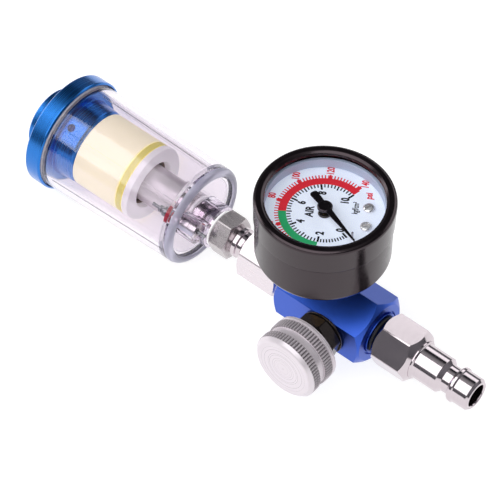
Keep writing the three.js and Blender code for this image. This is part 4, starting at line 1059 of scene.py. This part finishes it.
def build_pointer(centre):
    """Tapered black pointer with a round hub and a blunt rounded tail."""
    black = PAINT["enamel_sprayed_black"]
    base, top = 40.9, 41.3
    side = [(15.7, 0.14), (12, 0.28), (3, 0.85), (1.9, 1.0), (-2.0, 0.95), (-5.9, 1.15), (-6.35, 1.0),
            (-6.6, 0.55)]
    outline = side + [(x, -y) for x, y in reversed(side)]
    turn = POINTER_REST + DIAL_TURN
    c, s = math.cos(turn), math.sin(turn)
    points = [(centre[0] + x * c - y * s, x * s + y * c, z) for z in (base, top) for x, y in outline]
    count = len(outline)
    faces = [tuple(range(count)), tuple(range(2 * count - 1, count - 1, -1))]
    faces += [(k, (k + 1) % count, count + (k + 1) % count, count + k) for k in range(count)]
    blade = mesh_object("blade", points, faces, black)
    bevel = blade.modifiers.new("edge", "BEVEL")
    bevel.width, bevel.segments = 0.08 * MM, 2
    applied(blade)
    hub = turned("hub", Z, [(40.7, 0), (40.7, 2.35), (41.25, 2.35), (41.5, 2.0), (41.5, 0)],
                 black, centre, 64, 0.12)
    pointer = joined("pointer_black", blade, hub)
    fitted(pointer, "pointer_and_pinion", "black_enamel", "gauge_pointer")


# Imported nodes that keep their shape, by the finish they get.
KEPT_NODES = {
    "brass_machined": (
        "valve_seat", "valve_poppet", "piston", "spring_button", "gauge_socket", "pinion_arbor",
        "sector_gear", "gauge_link", "bourdon_tube", "hairspring", "movement_plate_lower",
        "movement_plate_upper", "movement_pillar_1", "movement_pillar_2"),
    "vulcanised_fibre_pressed": ("coupling_washer", "gauge_stem_seal"),
    "nickel_plate_satin": ("swivel_spigot",),
    "nitrile_rubber_moulded": ("piston_seal",),
    "spring_steel_drawn": ("adjusting_screw", "sector_arbor"),
    "steel_black_oxide": ("knob_grub_screw",)}


def paint_kept_nodes():
    """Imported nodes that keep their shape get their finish."""
    for finish, nodes in KEPT_NODES.items():
        for node in nodes:
            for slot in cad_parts[node].material_slots:
                slot.material = PAINT[finish]


# ---- stage -------------------------------------------------------------------------------------
AIM = (0.09, 0, 0.01)
FLOOR_HALF = 3.0
# Soft lights in metres: name, place, size, and share of the key power.
LIGHTS = (
    ("key", (0.1, -0.55, 0.8), (1.2, 1.2), 1.9),
    ("left", (-0.6, -0.2, 0.4), (0.4, 0.5), 0.45),
    ("back", (0.2, 0.7, 0.5), (1.0, 0.4), 0.35))
# Shades of the studio by height, from straight down to just below the surround overhead.
STUDIO_SHADES = ((0.5, "#b4b4ba"), (0.66, "#3c3c42"), (0.82, "#3c3c42"))
CAMERA_PLACE = (0.4582, -0.4599, 0.7030)
CAMERA_RIGHT = Vector((0.7644, 0.6446, 0.0148))
CAMERA_DOWN = Vector((0.5004, -0.5787, -0.6440))
CAMERA_AHEAD = Vector((-0.4066, 0.4997, -0.7649))
CAMERA_LENS = 212.7


def build_floor():
    """Wide pale floor at the level the cap rests on."""
    mesh = bpy.data.meshes.new("floor")
    corners = [
        (x * FLOOR_HALF, y * FLOOR_HALF, FLOOR_Z * MM) for x, y in ((-1, -1), (1, -1), (1, 1), (-1, 1))]
    mesh.from_pydata(corners, [], [(0, 1, 2, 3)])
    mesh.materials.append(PAINT["paper_matt"])
    floor = bpy.data.objects.new("floor", mesh)
    bpy.context.scene.collection.objects.link(floor)


def build_studio(settings):
    """Surround that lights the part in soft shades, and is plain and pale when seen straight on."""
    world = bpy.data.worlds.new("studio")
    bpy.context.scene.world = world
    world.use_nodes = True
    tree = world.node_tree
    background = tree.nodes["Background"]
    background.inputs["Strength"].default_value = settings.surround_light
    where = put(tree, "ShaderNodeTexCoord").outputs["Generated"]
    height = put(tree, "ShaderNodeSeparateXYZ", [(0, where)]).outputs["Z"]
    ramp = put(tree, "ShaderNodeValToRGB", [(0, height)])
    stops = ramp.color_ramp.elements
    stops[0].position, stops[0].color = 0.0, linear("#77777d")
    stops[1].position, stops[1].color = 0.95, settings.surround
    for position, shade in STUDIO_SHADES:
        stops.new(position).color = linear(shade)
    tree.links.new(ramp.outputs[0], background.inputs["Color"])
    pale = put(tree, "ShaderNodeBackground", [("Color", settings.surround)], Strength=1.1)
    seen = put(tree, "ShaderNodeLightPath").outputs["Is Camera Ray"]
    studio = put(tree, "ShaderNodeMixShader", [(0, seen), (1, background.outputs[0]), (2, pale.outputs[0])])
    tree.links.new(studio.outputs[0], tree.nodes["World Output"].inputs["Surface"])


def area_light(name, place, size, power):
    """A rectangular soft light aimed at the part."""
    data = bpy.data.lights.new(name, "AREA")
    data.shape, data.size, data.size_y = "RECTANGLE", size[0], size[1]
    data.energy = power
    light = bpy.data.objects.new(name, data)
    bpy.context.scene.collection.objects.link(light)
    light.location = place
    light.rotation_euler = (Vector(AIM) - Vector(place)).to_track_quat("-Z", "Y").to_euler()


def build_stage(settings):
    """Floor, studio, lights and camera."""
    build_floor()
    build_studio(settings)
    for name, place, size, share in LIGHTS:
        area_light(name, place, size, settings.key_power * share)
    bpy.context.scene.view_settings.view_transform = "Standard"
    cycles = bpy.context.scene.cycles
    cycles.max_bounces, cycles.glossy_bounces, cycles.transmission_bounces = 24, 16, 24
    data = bpy.data.cameras.new("camera")
    data.lens, data.sensor_width = CAMERA_LENS, 36
    data.clip_start, data.clip_end = 0.01, 20
    camera = bpy.data.objects.new("camera", data)
    bpy.context.scene.collection.objects.link(camera)
    turn = Matrix((CAMERA_RIGHT, -CAMERA_DOWN, -CAMERA_AHEAD)).transposed().to_4x4()
    camera.matrix_world = Matrix.Translation(CAMERA_PLACE) @ turn
    bpy.context.scene.camera = camera


# ---- add-on ------------------------------------------------------------------------------------
def length(name, description, default):
    """A length property in metres, shown in the scene's units."""
    return bpy.props.FloatProperty(
        name=name, description=description, default=default, min=0.0, precision=5, unit="LENGTH")


def colour(name, description, default):
    """A colour property from an sRGB hex code."""
    return bpy.props.FloatVectorProperty(
        name=name, description=description, default=linear(default), size=4, min=0.0, max=1.0,
        subtype="COLOR")


class RegulatorSizes(bpy.types.PropertyGroup):
    bowl_wall: length("Bowl wall", "Thickness of the clear wall", 0.0023)
    rib_rise: length("Rib rise", "How far the bowl's long ribs stand out", 0.00014)
    knurl_depth: length("Knurl depth", "Depth of the knob's knurled valleys", 0.0005)
    bowl_ribs: bpy.props.IntProperty(
        name="Bowl ribs", description="Long ribs moulded on the bowl", default=6, min=1, max=24)
    knurl_ridges: bpy.props.IntProperty(
        name="Knurl ridges", description="Ridges round the knob", default=66, min=12, max=120)


class RegulatorColours(bpy.types.PropertyGroup):
    cap: colour("Cap", "Anodised colour of the filter cap", "#2574c8")
    body: colour("Body", "Anodised colour of the regulator body", "#2c56bf")
    bowl: colour("Bowl", "Tint of the clear bowl", "#fbf6fb")
    element: colour("Element", "Colour of the sintered element", "#fbf4d6")
    knob: colour("Knob", "Colour of the turned knob", "#dcd4da")
    case: colour("Gauge case", "Enamel on the gauge case", "#1c171a")
    dial: colour("Dial", "Enamel on the dial", "#eef0f9")


class RegulatorStage(bpy.types.PropertyGroup):
    key_power: bpy.props.FloatProperty(
        name="Key light", description="Power of the main soft light", default=5.0, min=0.0, unit="POWER")
    surround: colour("Surround", "Colour of the studio surround overhead", "#e8e8ea")
    surround_light: bpy.props.FloatProperty(
        name="Surround light", description="Brightness of the studio surround", default=0.5, min=0.0)


class REGULATOR_OT_finishes(bpy.types.Operator):
    """Make the node trees and the finishes"""
    bl_idname = "regulator.finishes"
    bl_label = "Finishes"

    def execute(self, context):
        TREES.update(marks=marks_tree(), coil=coil_tree(), knurl=knurl_tree())
        make_materials(context.scene.regulator_colours)
        return {"FINISHED"}


class REGULATOR_OT_cap(bpy.types.Operator):
    """Build the blue filter cap"""
    bl_idname = "regulator.cap"
    bl_label = "Filter cap"

    def execute(self, context):
        build_cap()
        return {"FINISHED"}


class REGULATOR_OT_bowl(bpy.types.Operator):
    """Build the clear bowl"""
    bl_idname = "regulator.bowl"
    bl_label = "Bowl"

    def execute(self, context):
        build_bowl(context.scene.regulator_sizes)
        return {"FINISHED"}


class REGULATOR_OT_filter(bpy.types.Operator):
    """Build what is inside the bowl"""
    bl_idname = "regulator.filter_inside"
    bl_label = "Filter inside"

    def execute(self, context):
        build_filter_inside()
        build_drain()
        return {"FINISHED"}


class REGULATOR_OT_coupling(bpy.types.Operator):
    """Build the nipple and the swivel coupling"""
    bl_idname = "regulator.coupling"
    bl_label = "Coupling"

    def execute(self, context):
        build_coupling()
        return {"FINISHED"}


class REGULATOR_OT_body(bpy.types.Operator):
    """Build the regulator body and bonnet"""
    bl_idname = "regulator.body"
    bl_label = "Body"

    def execute(self, context):
        build_body()
        build_bonnet()
        return {"FINISHED"}


class REGULATOR_OT_knob(bpy.types.Operator):
    """Build the knurled adjusting knob"""
    bl_idname = "regulator.knob"
    bl_label = "Knob"

    def execute(self, context):
        build_knob(context.scene.regulator_sizes)
        return {"FINISHED"}


class REGULATOR_OT_plug(bpy.types.Operator):
    """Build the quick-connect inlet plug"""
    bl_idname = "regulator.plug"
    bl_label = "Inlet plug"

    def execute(self, context):
        build_plug()
        return {"FINISHED"}


class REGULATOR_OT_gauge(bpy.types.Operator):
    """Build the gauge case, bezel and glass"""
    bl_idname = "regulator.gauge"
    bl_label = "Gauge case"

    def execute(self, context):
        build_gauge_case()
        return {"FINISHED"}


class REGULATOR_OT_dial(bpy.types.Operator):
    """Build the dial, its print and the pointer"""
    bl_idname = "regulator.dial"
    bl_label = "Dial"

    def execute(self, context):
        build_dial()
        return {"FINISHED"}


class REGULATOR_OT_kept(bpy.types.Operator):
    """Give the kept inner parts their finish"""
    bl_idname = "regulator.kept_parts"
    bl_label = "Inner parts"

    def execute(self, context):
        paint_kept_nodes()
        return {"FINISHED"}


class REGULATOR_OT_stage(bpy.types.Operator):
    """Build the floor, lights and camera"""
    bl_idname = "regulator.stage"
    bl_label = "Stage"

    def execute(self, context):
        build_stage(context.scene.regulator_stage)
        return {"FINISHED"}


OPERATORS = [
    REGULATOR_OT_finishes, REGULATOR_OT_stage, REGULATOR_OT_cap, REGULATOR_OT_bowl, REGULATOR_OT_filter,
    REGULATOR_OT_coupling, REGULATOR_OT_body, REGULATOR_OT_knob, REGULATOR_OT_plug, REGULATOR_OT_gauge,
    REGULATOR_OT_dial, REGULATOR_OT_kept]


class REGULATOR_PT_panel(bpy.types.Panel):
    bl_label = "Air regulator"
    bl_idname = "REGULATOR_PT_panel"
    bl_space_type = "VIEW_3D"
    bl_region_type = "UI"
    bl_category = "Regulator"

    def draw(self, context):
        for group in GROUPS:
            settings = getattr(context.scene, group)
            for name in settings.__annotations__:
                self.layout.prop(settings, name)
        for operator in OPERATORS:
            self.layout.operator(operator.bl_idname)


GROUPS = {
    "regulator_sizes": RegulatorSizes,
    "regulator_colours": RegulatorColours,
    "regulator_stage": RegulatorStage}
CLASSES = list(GROUPS.values()) + OPERATORS + [REGULATOR_PT_panel]


def register():
    """Registers the classes and hangs the settings on the scene."""
    for item in CLASSES:
        bpy.utils.register_class(item)
    for name, group in GROUPS.items():
        setattr(bpy.types.Scene, name, bpy.props.PointerProperty(type=group))


def unregister():
    """Takes the settings off the scene and the classes out again."""
    for name in GROUPS:
        delattr(bpy.types.Scene, name)
    for item in reversed(CLASSES):
        bpy.utils.unregister_class(item)


def main():
    """Registers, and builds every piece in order."""
    register()
    for operator in OPERATORS:
        group, name = operator.bl_idname.split(".")
        getattr(getattr(bpy.ops, group), name)()


if __name__ == "__main__":
    main()
